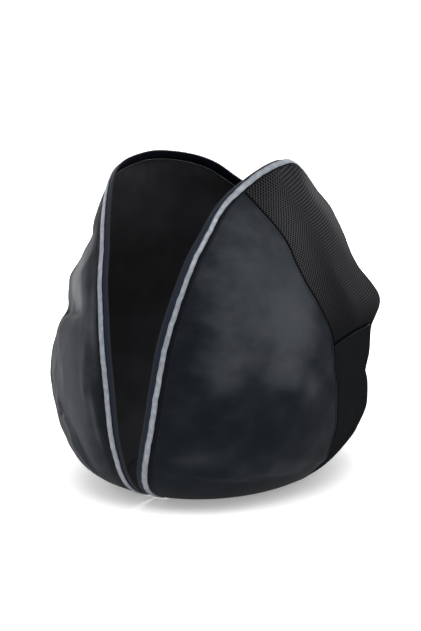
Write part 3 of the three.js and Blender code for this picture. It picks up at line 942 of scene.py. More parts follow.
def bag_material(name):
    """The material of that name, made the first time that it is asked for."""
    made = bpy.data.materials.get(Finish.prefix + name)
    if made:
        return made
    colours = bpy.context.scene.helmet_bag_colours
    makers = {
        "satin": lambda: satin_finish(colours, "satin", colours.satin, colours.satin_painted_light, 0.03),
        "rear_cloth": lambda: satin_finish(colours, "rear_cloth", colours.rear_cloth, colours.mesh_low, 0.0),
        "mesh": lambda: mesh_finish(colours),
        "lining": lambda: lining_finish(colours),
        "reflective": lambda: strip_finish(colours),
        "tape": lambda: thread_finish("tape", colours.tape),
        "coil": lambda: thread_finish("coil", colours.coil),
        "thread": lambda: thread_finish("thread", colours.thread),
        "strip_thread": lambda: thread_finish("strip_thread", colours.strip_thread),
        "slider": lambda: metal_finish(colours),
    }
    return makers[name]()


# Grids of places on the wall

# Distances from a seam at which a panel has its columns or rows, so that the seam's stitched
# channels have a shape.
SEAM_STEPS = np.array([0.2, 0.5, 0.8, 1.1, 1.4, 1.7, 2.1, 2.6, 3.2, 3.7, 4.1, 4.5, 4.9, 5.5, 6.5, 8.0]) * MM


# A turned-under seam: how far from it its two rows of stitches run, and the ridge between them.
CHANNELS = (1.2 * MM, 3.7 * MM)
CHANNEL_WIDTH = 0.5 * MM
CHANNEL_DEPTH = 0.4 * MM
RIDGE = 2.4 * MM
RIDGE_WIDTH = 0.9 * MM
RIDGE_HEIGHT = 0.3 * MM
FOLD_DEPTH = 0.5 * MM

# How far under the edge the stitches along it run.
EDGE_ROW = 1.6 * MM


def seam_relief(distance):
    """A turned-under seam: a bell for the ridge, less one for each channel and one at the seam."""
    channels = sum(bell(distance - channel, CHANNEL_WIDTH) for channel in CHANNELS)
    ridge = bell(distance - RIDGE, RIDGE_WIDTH)
    return ridge * RIDGE_HEIGHT - channels * CHANNEL_DEPTH - bell(distance, CHANNEL_WIDTH) * FOLD_DEPTH


def down_rows(wall, alongs, start, end, count):
    """Places down the wall from start to end: at the seam's steps beside a seam, or at small shares of
    the whole where those are less, and evenly spread between. A seam above leaves half its gap."""
    length = wall.rib_length(alongs)[:, None]
    near = np.minimum(SEAM_STEPS / length, (end - start) * 0.02 * np.arange(1, len(SEAM_STEPS) + 1))
    if start > 0:
        near = near + np.minimum(wall.sizes.seam_gap / 2 / length, (end - start) * 0.01)
    upper = start + near
    if start == 0:
        upper = np.concatenate([np.zeros_like(length), upper], axis=1)
    lower = end - near[:, ::-1] if end < 1 else np.full_like(length, end)
    shares = np.linspace(0, 1, count + 2)[1:-1]
    middle = upper[:, -1:] + (lower[:, :1] - upper[:, -1:]) * shares
    return np.concatenate([upper, middle, lower], axis=1)


class PanelGrid:
    """The places of one panel, as arrays over its columns and rows. Alongs and downs are the two
    ends of the panel each way."""

    def __init__(self, wall, alongs, downs, columns, rows):
        self.wall = wall
        even = np.linspace(*alongs, columns)
        down = down_rows(wall, even, *downs, rows)
        self.along = self.crowd(down, *alongs, columns)
        nearest = np.clip(np.searchsorted(even, self.along[:, 0]), 0, columns - 1)
        self.down = down[nearest]
        self.points, self.normals = wall.surface(self.along, self.down)

    def crowd(self, down, start, end, columns):
        """Even columns from start to end, and columns at the seam's steps from the side seam, on
        whichever side of the panel it is."""
        seam_last = end < 1
        seam = end if seam_last else start
        spread = self.wall.spread(np.full_like(down[0], seam), down[-1 if seam_last else 0])
        beside = seam + (-1 if seam_last else 1) * SEAM_STEPS[:, None] / spread
        shares = np.linspace(0, 1, columns)[:, None]
        if seam_last:
            rest = start + (beside[-1] - start) * shares
            return np.concatenate([rest, beside[-2::-1]])
        rest = beside[-1] + (end - beside[-1]) * shares
        return np.concatenate([beside[:-1], rest])


def seam_distance(sizes, grid):
    """The distance from each place of a panel to the side seam as far down."""
    seam_points = grid.wall.surface(np.full_like(grid.down, sizes.front_share), grid.down)[0]
    return np.linalg.norm(grid.points - seam_points, axis=-1)


def build_front_panels(sizes):
    """The smooth front panel of each wall: the wall's face from the front foot to the side seam,
    raised by its relief and the seam's, less a bell where the edge's stitches run."""
    for wall in walls_of(sizes):
        grid = PanelGrid(wall, (0, sizes.front_share), (0, 1), columns=130, rows=104)
        distance = seam_distance(sizes, grid)
        top = wall.length_down(grid.along, grid.down)
        pulled = bell(top - EDGE_ROW, 0.7 * MM) * 0.35 * MM
        raised = wall.relief(grid.along, grid.down) + seam_relief(distance) - pulled
        # Seam is the distance to the side seam or to the edge, where the finish paints shade.
        sheet_piece(
            wall.name + "_front_panel", grid, raised, sizes.panel_thickness, "satin", "satin",
            seam=np.minimum(distance, top),
        )


def build_mesh_panels(sizes):
    """The mesh panel of each wall: the wall's face from the side seam to the back foot, raised by its
    relief, less a bell of the distance to the nearest seam, so that it looks padded between them."""
    for wall in walls_of(sizes):
        grid = PanelGrid(wall, (sizes.front_share, 1), (0, sizes.mesh_share), columns=150, rows=44)
        distance = seam_distance(sizes, grid)
        top = wall.length_down(grid.along, grid.down)
        foot = wall.rib_length(grid.along) * (sizes.mesh_share - grid.down)
        nearest = np.minimum(np.minimum(distance, top), foot)
        raised = wall.relief(grid.along, grid.down) - bell(nearest, 1.6 * MM) * 0.5 * MM
        sheet_piece(
            wall.name + "_mesh_panel", grid, raised, sizes.mesh_thickness, "mesh", "mesh",
            seam=nearest, beside=distance, foot=foot,
        )


def build_rear_panels(sizes):
    """The plain panel under the mesh of each wall, down to the base: the wall's face raised by its
    relief, less a bell at the side seam and one at the stitches under the mesh."""
    for wall in walls_of(sizes):
        grid = PanelGrid(wall, (sizes.front_share, 1), (sizes.mesh_share, 1), columns=130, rows=70)
        distance = seam_distance(sizes, grid)
        top = wall.rib_length(grid.along) * (grid.down - sizes.mesh_share)
        pulled = bell(distance, 1 * MM) * 0.4 * MM + bell(top - CHANNELS[0], 0.6 * MM) * 0.25 * MM
        raised = wall.relief(grid.along, grid.down) - pulled
        sheet_piece(
            wall.name + "_rear_panel", grid, raised, sizes.panel_thickness, "rear_cloth", "satin",
            seam=np.minimum(distance, top),
        )


def sheet_piece(name, grid, raised, thickness, material, slot, **values):
    """A closed sheet: the wall's face raised by the cloth's relief, and the same face lower down."""
    outer = grid.points + grid.normals * raised[..., None]
    inner = grid.points + grid.normals * (raised - thickness)[..., None]
    points, faces = shell(outer, inner)
    flat = np.tile(grid.wall.flat(grid.points).reshape(-1, 2), (2, 1))
    # The share of painted light, highlights and sheen, that the finishes read.
    values["rubbed"] = grid.wall.rubbed(grid.along, grid.down)
    kept = {key: np.tile(value.ravel(), 2) for key, value in values.items()}
    return new_piece(name + "_cloth", points, faces, bag_material(material), [name], flat, kept)


def build_linings(sizes):
    """The lining of each wall, one sheet from edge to base: the wall's face raised by the relief, less
    the panels' thickness and a gap. Its rows lie closer together near the edge."""
    for wall in walls_of(sizes):
        along, down = np.meshgrid(np.linspace(0, 1, 240), np.linspace(0, 1, 110) ** 1.15, indexing="ij")
        points, normals = wall.surface(along, down)
        raised = wall.relief(along, down) - sizes.mesh_thickness - sizes.layer_gap
        outer = points + normals * raised[..., None]
        inner = outer - normals * sizes.lining_thickness
        vertices, faces = shell(outer, inner)
        flat = np.tile(wall.flat(points).reshape(-1, 2), (2, 1))
        name = wall.name + "_lining"
        new_piece(name + "_cloth", vertices, faces, bag_material("lining"), [name], flat)


def edge_alongs(sizes, wall, step):
    """Even places along the edge, between the setbacks at both ends."""
    setback = sizes.edge_setback / wall.edge_length
    count = int(round(wall.edge_length / step)) + 1
    return np.linspace(setback, 1 - setback, count)


def beside_edge(edge_frame, off, out):
    """Points beside the edge, each off metres off it and out metres out of the wall. The places of
    the edge are the first axis of off and out."""
    ones = [1] * (off.ndim - 1)
    point, way_out, way_off = (part.reshape(len(part), *ones, 3) for part in edge_frame[:3])
    return point + way_off * off[..., None] + way_out * out[..., None]


def past_strip(sizes, tuck, off, out):
    """Where the tape and the coil lie past the strip: turned in by the tuck about the strip's edge."""
    middle = sizes.strip_proud - sizes.strip_thickness - sizes.layer_gap - sizes.tape_thickness / 2
    return (
        sizes.seam_gap + sizes.strip_width + off * np.cos(tuck) + out * np.sin(tuck),
        middle - off * np.sin(tuck) + out * np.cos(tuck),
    )


def strip_sides(sizes, wall, along):
    """How far off the wall's edge the strip begins and ends. Where it leans in, more than 8 degrees
    and fully at 30, it reaches back over the seam."""
    rolled = smooth(np.degrees(wall.edge_frame(along).roll), 8, 30)
    low_side = sizes.seam_gap + sizes.strip_trim * (1 - rolled) - sizes.strip_lap * rolled
    slim = np.interp(along, wall.slims.column("along"), wall.slims.column("trim")) * MM
    return low_side, sizes.seam_gap + sizes.strip_width - slim


def build_strips(sizes):
    """The reflective strip on each edge: a flat superellipse carried along the edge. Sines and the
    wrinkles' waves sway it sideways and puff its face, which is crowned by a parabola."""
    for wall in walls_of(sizes):
        along = edge_alongs(sizes, wall, 1.6 * MM)
        run = along * wall.edge_length
        turn = np.linspace(0, 2 * math.pi, 17)[:-1]
        reach = np.sign(np.cos(turn)) * np.abs(np.cos(turn)) ** 0.25
        rise = np.sign(np.sin(turn)) * np.abs(np.sin(turn)) ** 0.5
        low_side, far_side = strip_sides(sizes, wall, along)
        wave = wrinkles(run, run * 0, sizes.seed + 20 + wall.side)
        sway = 0.12 * MM * np.sin(2 * math.pi * run / (21 * MM)) + 0.1 * MM * np.sin(run / (1.7 * MM))
        sway = sway + wave * 0.12
        puff = 0.14 * MM * np.cos(2 * math.pi * run / (9.4 * MM)) + wave * 0.1
        middle = (low_side + far_side) / 2 + sway
        off = middle[:, None] + reach * (far_side - low_side)[:, None] / 2
        raised = (1 - reach**2) * 0.25 * MM + puff[:, None] * (1 - np.abs(reach) ** 6)
        level = sizes.strip_proud - sizes.strip_thickness / 2
        out = level + rise * sizes.strip_thickness / 2 + raised * (rise > 0)
        points, faces, caps = tube(beside_edge(wall.edge_frame(along), off, out))
        name = wall.name + "_reflective_strip"
        new_piece(name + "_sewn", points, faces, bag_material("reflective"), [name], caps=caps)


def build_tapes(sizes):
    """The zip's tape on each edge: a profile of eight corners carried along the edge, flat under the
    strip, then turned in by the tuck with a mitre, and thinner where the coil is sewn on."""
    for wall in walls_of(sizes):
        along = edge_alongs(sizes, wall, 2 * MM)
        edge_frame = wall.edge_frame(along)
        tuck = edge_frame.tuck
        half = sizes.tape_thickness / 2
        middle = sizes.strip_proud - sizes.strip_thickness - sizes.layer_gap - half
        start = sizes.seam_gap + (sizes.layer_gap + sizes.tape_thickness) * np.tan(edge_frame.roll)
        bend = np.full_like(tuck, sizes.seam_gap + sizes.strip_width)
        mitre = half * np.tan(tuck / 2)
        coil_from = sizes.tape_reach + sizes.layer_gap
        far = coil_from + sizes.coil_width * 0.55
        steps = [
            (start, middle - half),
            (bend - mitre, middle - half),
            past_strip(sizes, tuck, sizes.tape_reach, -half),
            past_strip(sizes, tuck, far, -half * 0.6),
            past_strip(sizes, tuck, far, half * 0.6),
            past_strip(sizes, tuck, sizes.tape_reach, half),
            (bend + mitre, middle + half),
            (start, middle + half),
        ]
        off = np.stack([np.broadcast_to(step[0], tuck.shape) for step in steps], axis=1)
        out = np.stack([np.broadcast_to(step[1], tuck.shape) for step in steps], axis=1)
        points, faces, caps = tube(beside_edge(edge_frame, off, out))
        name = wall.name + "_zip_tape"
        new_piece(name + "_woven", points, faces, bag_material("tape"), [name], caps=caps)


def coil_rings(path, centre, radius, sides):
    """A round wire along a path: its rings lie across the path, turned by the way to the centre."""
    run = unit(np.gradient(path, axis=0))
    outward = path - centre
    outward = unit(outward - run * np.sum(outward * run, axis=-1, keepdims=True))
    across = np.cross(run, outward)
    turn = np.linspace(0, 2 * math.pi, sides + 1)[:-1]
    round_ring = outward[:, None] * np.cos(turn)[:, None] + across[:, None] * np.sin(turn)[:, None]
    return path[:, None] + round_ring * radius


def build_coils(sizes):
    """The zip's coil on each edge: a wire whose path is a cosine off the edge and a sine out of it,
    one turn for each tooth."""
    steps_a_turn = 10
    sides = 5
    wire = 0.36 * MM
    for wall in walls_of(sizes):
        setback = sizes.edge_setback / wall.edge_length
        turns = int((1 - 2 * setback) * wall.edge_length / sizes.coil_pitch)
        share = np.linspace(0, 1, turns * steps_a_turn + 1)
        along = setback + (1 - 2 * setback) * share
        phase = 2 * math.pi * turns * share + (0 if wall.side > 0 else math.pi)
        edge_frame = wall.edge_frame(along)
        tuck = edge_frame.tuck
        middle = sizes.tape_reach + sizes.layer_gap + sizes.coil_width / 2
        reach = (sizes.coil_width / 2 - wire) * np.cos(phase)
        rise = (sizes.coil_thickness / 2 - wire) * np.sin(phase)
        path = beside_edge(edge_frame, *past_strip(sizes, tuck, middle + reach, rise))
        centre = beside_edge(edge_frame, *past_strip(sizes, tuck, middle, 0 * rise))
        points, faces, caps = tube(coil_rings(path, centre, wire, sides))
        name = wall.name + "_zip_coil"
        new_piece(name + "_wound", points, faces, bag_material("coil"), [name], caps=caps)


# A stitch: places along it as shares of its half length, and how thick it is there and how far its
# middle stands off the cloth as shares of its radius.
STITCH = Table(
    "place thick rise",
    (-1.0, 0.25, -1.0),
    (-0.7, 0.85, 0.1),
    (0.0, 1.0, 0.45),
    (0.7, 0.85, 0.1),
    (1.0, 0.25, -1.0),
)
STITCH_SIDES = 5
# Half a stitch's own length, as a share of the distance between two stitches.
STITCH_HALF = 0.42


def stitches(line, normals, length, radius, lift):
    """A row of stitches along a line of points: rings of the stitch's table carried along its run,
    bowed like an arch, with a small gap to the next."""
    steps = np.linalg.norm(np.diff(line, axis=0), axis=1)
    reached = np.concatenate([[0], np.cumsum(steps)])
    count = int(reached[-1] / length)
    middles = (np.arange(count) + 0.5) * length

    def read(values, places):
        """Values given at the line's points, read at places along it."""
        return np.stack([np.interp(places, reached, values[:, k]) for k in range(3)], axis=-1)

    centre = read(line, middles)
    run = unit(read(line, middles + length * 0.2) - centre)
    up = unit(read(normals, middles))
    across = unit(np.cross(up, run))
    turn = np.linspace(0, 2 * math.pi, STITCH_SIDES + 1)[:-1]
    thick = STITCH.column("thick")[:, None]
    x = np.repeat(STITCH.column("place"), STITCH_SIDES) * length * STITCH_HALF
    y = (thick * np.cos(turn)).ravel() * radius
    z = (STITCH.column("rise")[:, None] + thick * np.sin(turn)).ravel() * radius + lift
    points = centre[:, None] + np.stack([x, y, z], axis=-1) @ np.stack([run, across, up], axis=1)
    ring = np.arange(len(x)).reshape(-1, STITCH_SIDES)
    one = quads_between(np.concatenate([ring, ring[:, :1]], axis=1))
    faces = (one[None] + (np.arange(count) * len(x))[:, None, None]).reshape(-1, 4)
    return points.reshape(-1, 3), faces


def panel_line(wall, along, down, lift):
    """A line on the panels' face at places of the wall, with its normals."""
    points, normals = wall.surface(along, down)
    return points + normals * (wall.relief(along, down) + lift)[..., None], normals


def build_seam_stitches(sizes):
    """Stitches on the panels: a row beside the whole side seam, one more beside its upper part, one
    under the mesh and one under the edge, each a line at a fixed distance on the raised face."""
    for wall in walls_of(sizes):
        setback = sizes.edge_setback / wall.edge_length
        last_down = 0.985
        rows = []
        down = np.linspace(0.012, last_down, 600)
        spread = wall.spread(np.full_like(down, sizes.front_share), down)
        for distance, deepest in zip(CHANNELS, (last_down, sizes.mesh_share)):
            kept = down < deepest
            along = sizes.front_share - distance / spread[kept]
            rows.append(panel_line(wall, along, down[kept], -0.35 * MM))
        along = np.linspace(sizes.front_share + 0.003, 1 - setback, 600)
        under_mesh = sizes.mesh_share + CHANNELS[0] / wall.rib_length(along)
        rows.append(panel_line(wall, along, under_mesh, -0.2 * MM))
        along = np.linspace(setback, 1 - setback, 900)
        rows.append(panel_line(wall, along, EDGE_ROW / wall.rib_length(along), -0.3 * MM))
        parts = [stitches(line, normals, sizes.stitch_length, 0.24 * MM, 0.1 * MM) for line, normals in rows]
        points, faces = joined(parts)
        name = wall.name + "_seam_stitches"
        new_piece(name, points, faces, bag_material("thread"), [])


def build_strip_stitches(sizes):
    """Stitches on each reflective strip: two lines on its face, a fixed way in from its long sides."""
    inset = 0.65 * MM
    for wall in walls_of(sizes):
        along = edge_alongs(sizes, wall, 1.2 * MM)
        edge_frame = wall.edge_frame(along)
        low_side, far_side = strip_sides(sizes, wall, along)
        parts = []
        for off in (low_side + inset, far_side - inset):
            line = beside_edge(edge_frame, off, np.full_like(off, sizes.strip_proud + 0.1 * MM))
            parts.append(stitches(line, edge_frame.way_out, sizes.stitch_length, 0.17 * MM, 0.02 * MM))
        points, faces = joined(parts)
        name = wall.name + "_strip_stitches"
        new_piece(name, points, faces, bag_material("strip_thread"), [])


def disc(low, high, turn, reach):
    """A closed round sheet between two heights: rings that are shares of its reach by the turn, over
    its top and back under it, the outer three dropping to round the rim."""
    even = np.linspace(0, 0.985, 40)
    rings = np.concatenate([even, [0.992, 0.997, 1.0]])
    drop = np.concatenate([0 * even, [0.05, 0.2, 0.5]]) * (high - low)
    halves = []
    for heights, order in ((high - drop, slice(None)), (low + drop, slice(None, None, -1))):
        ring = rings[order]
        x = np.outer(ring, reach * np.cos(turn))
        y = np.outer(ring, reach * np.sin(turn))
        z = np.broadcast_to(heights[order][:, None], x.shape)
        halves.append(np.stack([x, y, z], axis=-1))
    return np.concatenate(halves)


def foot_reach(sizes, turn):
    """The distance from the middle of the base to the walls' feet, by the turn from +X."""
    lean = np.degrees(np.arcsin(np.clip(np.sin(turn), -1, 1)))
    on_left, on_right = (np.linalg.norm(wall.body(lean, 0 * turn), axis=-1) for wall in walls_of(sizes))
    return np.where(np.cos(turn) >= 0, on_right, on_left)


def build_floor(sizes):
    """The base panel and the lining over it: round sheets between the walls' feet."""
    turn = np.linspace(0, 2 * math.pi, 193)
    reach = foot_reach(sizes, turn) - sizes.seam_gap
    lining_low = sizes.mesh_thickness + sizes.layer_gap
    sheets = (
        ("base_panel", 0.0, sizes.base_thickness, "rear_cloth", "satin"),
        ("floor_lining", lining_low, lining_low + sizes.lining_thickness, "lining", "lining"),
    )
    for name, low, high, material, slot in sheets:
        rings = disc(low, high, turn, reach)
        flat = rings[..., :2].reshape(-1, 2)
        away = {"seam": np.full(len(flat), 10 * MM)}
        piece = new_piece(
            name + "_cloth", rings, grid_faces(rings), bag_material(material), [name], flat, away
        )
        weld(piece)


def plate(half_wide, half_tall, thickness, squareness, taper, centre):
    """A rounded plate facing back: a superellipse outline in rings from the middle of one face, over
    the rim, to the middle of the other."""
    turn = np.linspace(0, 2 * math.pi, 49)
    cosine = np.cos(turn)
    sine = np.sin(turn)
    x = half_wide * np.sign(cosine) * np.abs(cosine) ** squareness * (1 - taper * (1 - sine) / 2)
    z = half_tall * np.sign(sine) * np.abs(sine) ** squareness
    scale = 1 - np.array([1.0, 0.5, 0.2, 0.06, 0.0, 0.06, 0.2, 0.5, 1.0])
    rise = np.array([1.0, 1.0, 0.97, 0.8, 0.0, -0.8, -0.97, -1.0, -1.0]) * thickness / 2
    y = np.broadcast_to(rise[:, None], (len(scale), len(turn)))
    points = np.stack([np.outer(scale, x), y, np.outer(scale, z)], axis=-1) + np.array(centre)
    return points.reshape(-1, 3), grid_faces(points)


def bent_wire(path, radius):
    """A round wire along a short path, its first and last ring shrunk to close it."""
    run = unit(np.gradient(path, axis=0))
    # Nearly sideways, so that no stretch of a path runs along it.
    guide = np.array([1.0, 0.02, 0.01])
    across = unit(np.cross(run, guide))
    other = np.cross(run, across)
    turn = np.linspace(0, 2 * math.pi, 9)
    fade = np.ones(len(path))
    fade[[0, -1]] = 0.02
    ring = across[:, None] * np.cos(turn)[:, None] + other[:, None] * np.sin(turn)[:, None]
    points = path[:, None] + ring * (radius * fade)[:, None, None]
    return points.reshape(-1, 3), grid_faces(points)


def build_slider(sizes):
    """The zip's slider: a shield plate and its face, an arch that is half an oval, a link that is an
    oval through the arch, and a hanging pull of two plates."""
    right = walls_of(sizes)[1]
    seat = right.body(np.array([90.0]), np.array([sizes.slider_height]))[0]
    back = seat[1] + sizes.strip_proud + sizes.layer_gap
    low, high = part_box("zip_slider")
    shield_middle = high.z - 6.5 * MM
    link_middle = shield_middle - 6 * MM
    half = np.linspace(0, math.pi, 13)
    whole = np.linspace(0, 2 * math.pi, 33)
    arch = np.stack(
        [0 * half, back + (1.4 + 2.8 * np.sin(half)) * MM, shield_middle + 4 * MM * np.cos(half)], axis=-1
    )
    link = np.stack(
        [2.4 * MM * np.sin(whole), back + 3.2 * MM + 0 * whole, link_middle + 5.6 * MM * np.cos(whole)],
        axis=-1,
    )
    parts = [
        plate(5 * MM, 6.5 * MM, 1.3 * MM, 0.55, 0.35, (0, back + 0.8 * MM, shield_middle)),
        plate(4.2 * MM, 5.8 * MM, 1 * MM, 0.6, 0.3, (0, back + 1.7 * MM, shield_middle)),
        bent_wire(arch, 0.9 * MM),
        bent_wire(link, 0.6 * MM),
        plate(2.7 * MM, 8.5 * MM, 1.3 * MM, 0.45, -0.15, (0, back + 2.4 * MM, low.z + 8.8 * MM)),
        plate(1.8 * MM, 6 * MM, 1.9 * MM, 0.5, -0.15, (0, back + 2.4 * MM, low.z + 7.8 * MM)),
    ]
    points, faces = joined(parts)
    piece = new_piece("zip_slider_body", points, faces, bag_material("slider"), ["zip_slider"])
    weld(piece)


def build_stage(scene):
    """A pale floor whose profile is a straight line, a quarter of a circle and a straight line up,
    soft round lights, and light from all round."""
    stage = scene.helmet_bag_stage
    colours = scene.helmet_bag_colours
    reach = 2.0
    bend = 0.9
    turn = np.linspace(0, math.pi / 2, 17)
    y = np.concatenate([[-reach * 6], reach + bend * np.sin(turn), [reach + bend]])
    z = np.concatenate([[0], bend * (1 - np.cos(turn)), [reach + bend]])
    across, deep = np.meshgrid([-reach * 5, reach * 5], y, indexing="ij")
    grid = np.stack([across, deep, np.broadcast_to(z, deep.shape)], axis=-1)
    around = math.radians(stage.azimuth)
    turned = grid @ np.array(Matrix.Rotation(around, 3, "Z")).T
    mesh = bpy.data.meshes.new("floor")
    mesh.from_pydata(turned.reshape(-1, 3).tolist(), [], grid_faces(turned).tolist())
    mesh.polygons.foreach_set("use_smooth", np.ones(len(mesh.polygons), bool))
    finish = Finish("floor")
    place = finish.place()
    grain = finish.noise(place, 0.4, 2)
    base = finish.blend(grain, colours.floor, tinted(colours.floor, 0.985))
    mesh.materials.append(finish.surface(base, grain * 0.05 + 0.7, grain, 0.1 * MM, Emission_Strength=0.3))
    floor = bpy.data.objects.new("floor", mesh)
    scene.collection.objects.link(floor)

    world = bpy.data.worlds.new("studio")
    world.use_nodes = True
    world.node_tree.nodes["Background"].inputs["Color"].default_value = (1, 1, 1, 1)
    world.node_tree.nodes["Background"].inputs["Strength"].default_value = stage.ambient
    scene.world = world
    scene.view_settings.view_transform = "Standard"

    target = Vector((0, 0, 0.15))
    backdrop = Vector((-reach * math.sin(around), reach * math.cos(around), 0.5))
    # Name, place, width in metres and power in watts.
    lights = (
        ("key", (-1.5, -1.6, 1.6), 1.5, stage.key_power),
        ("top", (0.35, -0.65, 1.9), 1.8, stage.top_power),
        ("side", (1.9, 0.5, 1.5), 1.5, stage.side_power),
        ("wash", (-0.35, 0.75, 1.3), 1.2, stage.wash_power),
    )
    for name, place, size, power in lights:
        lamp = bpy.data.lights.new(name, "AREA")
        lamp.shape = "DISK"
        lamp.size = size
        lamp.energy = power
        held = bpy.data.objects.new(name, lamp)
        held.location = place
        aim = backdrop if name == "wash" else target
        held.rotation_euler = (aim - Vector(place)).to_track_quat("-Z", "Y").to_euler()
        scene.collection.objects.link(held)


def build_camera(scene):
    """The camera: a fixed distance from its target, at the photograph's azimuth and elevation."""
    stage = scene.helmet_bag_stage
    around = math.radians(stage.azimuth)
    above = math.radians(stage.elevation)
    right = Vector((math.cos(around), math.sin(around), 0))
    target = right * stage.target_side + Vector((0, 0, stage.target_height))
    back = Vector((math.sin(around) * math.cos(above), -math.cos(around) * math.cos(above), math.sin(above)))
    data = bpy.data.cameras.new("camera")
    data.sensor_fit = "VERTICAL"
    data.sensor_height = 36
    data.lens = stage.lens
    camera = bpy.data.objects.new("camera", data)
    camera.location = target + back * stage.distance
    camera.rotation_euler = back.to_track_quat("Z", "Y").to_euler()
    scene.collection.objects.link(camera)
    scene.camera = camera


class BagStage(bpy.types.PropertyGroup):
    """The camera and the lights."""

    azimuth: FloatProperty(name="Azimuth", description="Camera round the bag, in degrees", default=27)
    elevation: FloatProperty(name="Elevation", description="Camera above the floor, in degrees", default=12)
    distance: FloatProperty(name="Distance", description="Camera to target", default=1.7, unit="LENGTH")
    target_side: FloatProperty(
        name="Target side", description="Target to the side", default=-0.004, unit="LENGTH"
    )
    target_height: FloatProperty(
        name="Target height", description="Target's height", default=0.147, unit="LENGTH"
    )
    lens: FloatProperty(name="Lens", description="Focal length in millimetres", default=105.42)
    ambient: FloatProperty(name="Ambient", description="Strength of the light from all round", default=0.75)
    key_power: FloatProperty(name="Key", description="Front light in watts", default=10, unit="POWER")
    top_power: FloatProperty(name="Top", description="Overhead light in watts", default=30, unit="POWER")
    wash_power: FloatProperty(
        name="Wash", description="Light on the backdrop in watts", default=40, unit="POWER"
    )
    side_power: FloatProperty(
        name="Side", description="Light from the right in watts", default=9, unit="POWER"
    )


class HELMETBAG_OT_camera(bpy.types.Operator):
    """Places the camera."""

    bl_idname = "helmet_bag.camera"
    bl_label = "Camera"

    def execute(self, context):
        build_camera(context.scene)
        return {"FINISHED"}


class HELMETBAG_OT_front_panels(bpy.types.Operator):
    """Builds the smooth front panels."""

    bl_idname = "helmet_bag.front_panels"
    bl_label = "Front panels"

    def execute(self, context):
        build_front_panels(context.scene.helmet_bag)
        return {"FINISHED"}


class HELMETBAG_OT_mesh_panels(bpy.types.Operator):
    """Builds the mesh panels."""

    bl_idname = "helmet_bag.mesh_panels"
    bl_label = "Mesh panels"

    def execute(self, context):
        build_mesh_panels(context.scene.helmet_bag)
        return {"FINISHED"}


class HELMETBAG_OT_rear_panels(bpy.types.Operator):
    """Builds the plain panels under the mesh."""

    bl_idname = "helmet_bag.rear_panels"
    bl_label = "Rear panels"

    def execute(self, context):
        build_rear_panels(context.scene.helmet_bag)
        return {"FINISHED"}


class HELMETBAG_OT_linings(bpy.types.Operator):
    """Builds the walls' linings."""

    bl_idname = "helmet_bag.linings"
    bl_label = "Linings"

    def execute(self, context):
        build_linings(context.scene.helmet_bag)
        return {"FINISHED"}


class HELMETBAG_OT_strips(bpy.types.Operator):
    """Builds the reflective strips."""

    bl_idname = "helmet_bag.strips"
    bl_label = "Reflective strips"

    def execute(self, context):
        build_strips(context.scene.helmet_bag)
        return {"FINISHED"}


class HELMETBAG_OT_tapes(bpy.types.Operator):
    """Builds the zip's tapes."""

    bl_idname = "helmet_bag.tapes"
    bl_label = "Zip tapes"

    def execute(self, context):
        build_tapes(context.scene.helmet_bag)
        return {"FINISHED"}


class HELMETBAG_OT_coils(bpy.types.Operator):
    """Builds the zip's coils."""

    bl_idname = "helmet_bag.coils"
    bl_label = "Zip coils"

    def execute(self, context):
        build_coils(context.scene.helmet_bag)
        return {"FINISHED"}


class HELMETBAG_OT_seam_stitches(bpy.types.Operator):
    """Sews the panels' seams."""

    bl_idname = "helmet_bag.seam_stitches"
    bl_label = "Seam stitches"

    def execute(self, context):
        build_seam_stitches(context.scene.helmet_bag)
        return {"FINISHED"}


class HELMETBAG_OT_strip_stitches(bpy.types.Operator):
    """Sews the strips on."""

    bl_idname = "helmet_bag.strip_stitches"
    bl_label = "Strip stitches"

    def execute(self, context):
        build_strip_stitches(context.scene.helmet_bag)
        return {"FINISHED"}


class HELMETBAG_OT_base(bpy.types.Operator):
    """Builds the base panel and the lining over it."""

    bl_idname = "helmet_bag.base"
    bl_label = "Base"

    def execute(self, context):
        build_floor(context.scene.helmet_bag)
        return {"FINISHED"}


class HELMETBAG_OT_slider(bpy.types.Operator):
    """Builds the zip's slider and pull."""

    bl_idname = "helmet_bag.slider"
    bl_label = "Slider"

    def execute(self, context):
        build_slider(context.scene.helmet_bag)
        return {"FINISHED"}


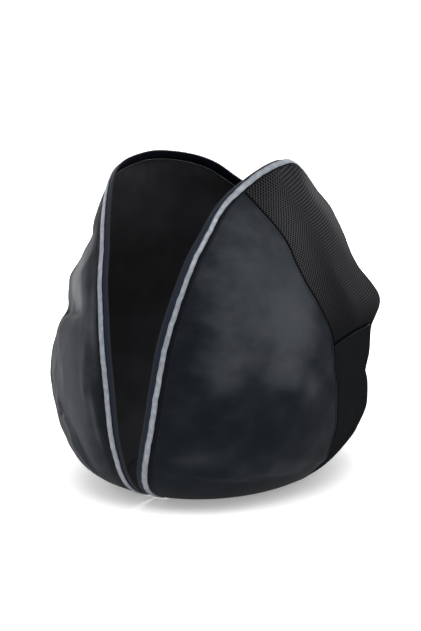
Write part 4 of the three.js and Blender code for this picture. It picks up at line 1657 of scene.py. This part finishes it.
class HELMETBAG_OT_stage(bpy.types.Operator):
    """Sets up the floor, backdrop and lights."""

    bl_idname = "helmet_bag.stage"
    bl_label = "Stage"

    def execute(self, context):
        build_stage(context.scene)
        return {"FINISHED"}


OPERATORS = (
    HELMETBAG_OT_camera,
    HELMETBAG_OT_front_panels,
    HELMETBAG_OT_mesh_panels,
    HELMETBAG_OT_rear_panels,
    HELMETBAG_OT_linings,
    HELMETBAG_OT_strips,
    HELMETBAG_OT_tapes,
    HELMETBAG_OT_coils,
    HELMETBAG_OT_seam_stitches,
    HELMETBAG_OT_strip_stitches,
    HELMETBAG_OT_base,
    HELMETBAG_OT_slider,
    HELMETBAG_OT_stage,
)


class HELMETBAG_PT_build(bpy.types.Panel):
    """The buttons and sizes in the sidebar."""

    bl_label = "Helmet bag"
    bl_space_type = "VIEW_3D"
    bl_region_type = "UI"
    bl_category = "Helmet bag"

    def draw(self, context):
        """Lists the operators, then every size, colour and setting."""
        for made in OPERATORS:
            self.layout.operator(made.bl_idname)
        groups = (context.scene.helmet_bag, context.scene.helmet_bag_colours, context.scene.helmet_bag_stage)
        for group in groups:
            for key in group.__annotations__:
                self.layout.prop(group, key)


CLASSES = (BagSizes, BagColours, BagStage, *OPERATORS, HELMETBAG_PT_build)


def register():
    """Registers the classes and puts the bag's sizes, colours and stage on the scene."""
    for made in CLASSES:
        bpy.utils.register_class(made)
    bpy.types.Scene.helmet_bag = PointerProperty(type=BagSizes)
    bpy.types.Scene.helmet_bag_colours = PointerProperty(type=BagColours)
    bpy.types.Scene.helmet_bag_stage = PointerProperty(type=BagStage)


def unregister():
    """Takes away what register has added."""
    del bpy.types.Scene.helmet_bag_stage
    del bpy.types.Scene.helmet_bag_colours
    del bpy.types.Scene.helmet_bag
    for made in reversed(CLASSES):
        bpy.utils.unregister_class(made)


def main():
    """Builds the bag piece by piece."""
    register()
    for made in OPERATORS:
        group, name = made.bl_idname.split(".")
        getattr(getattr(bpy.ops, group), name)()


if __name__ == "__main__":
    main()
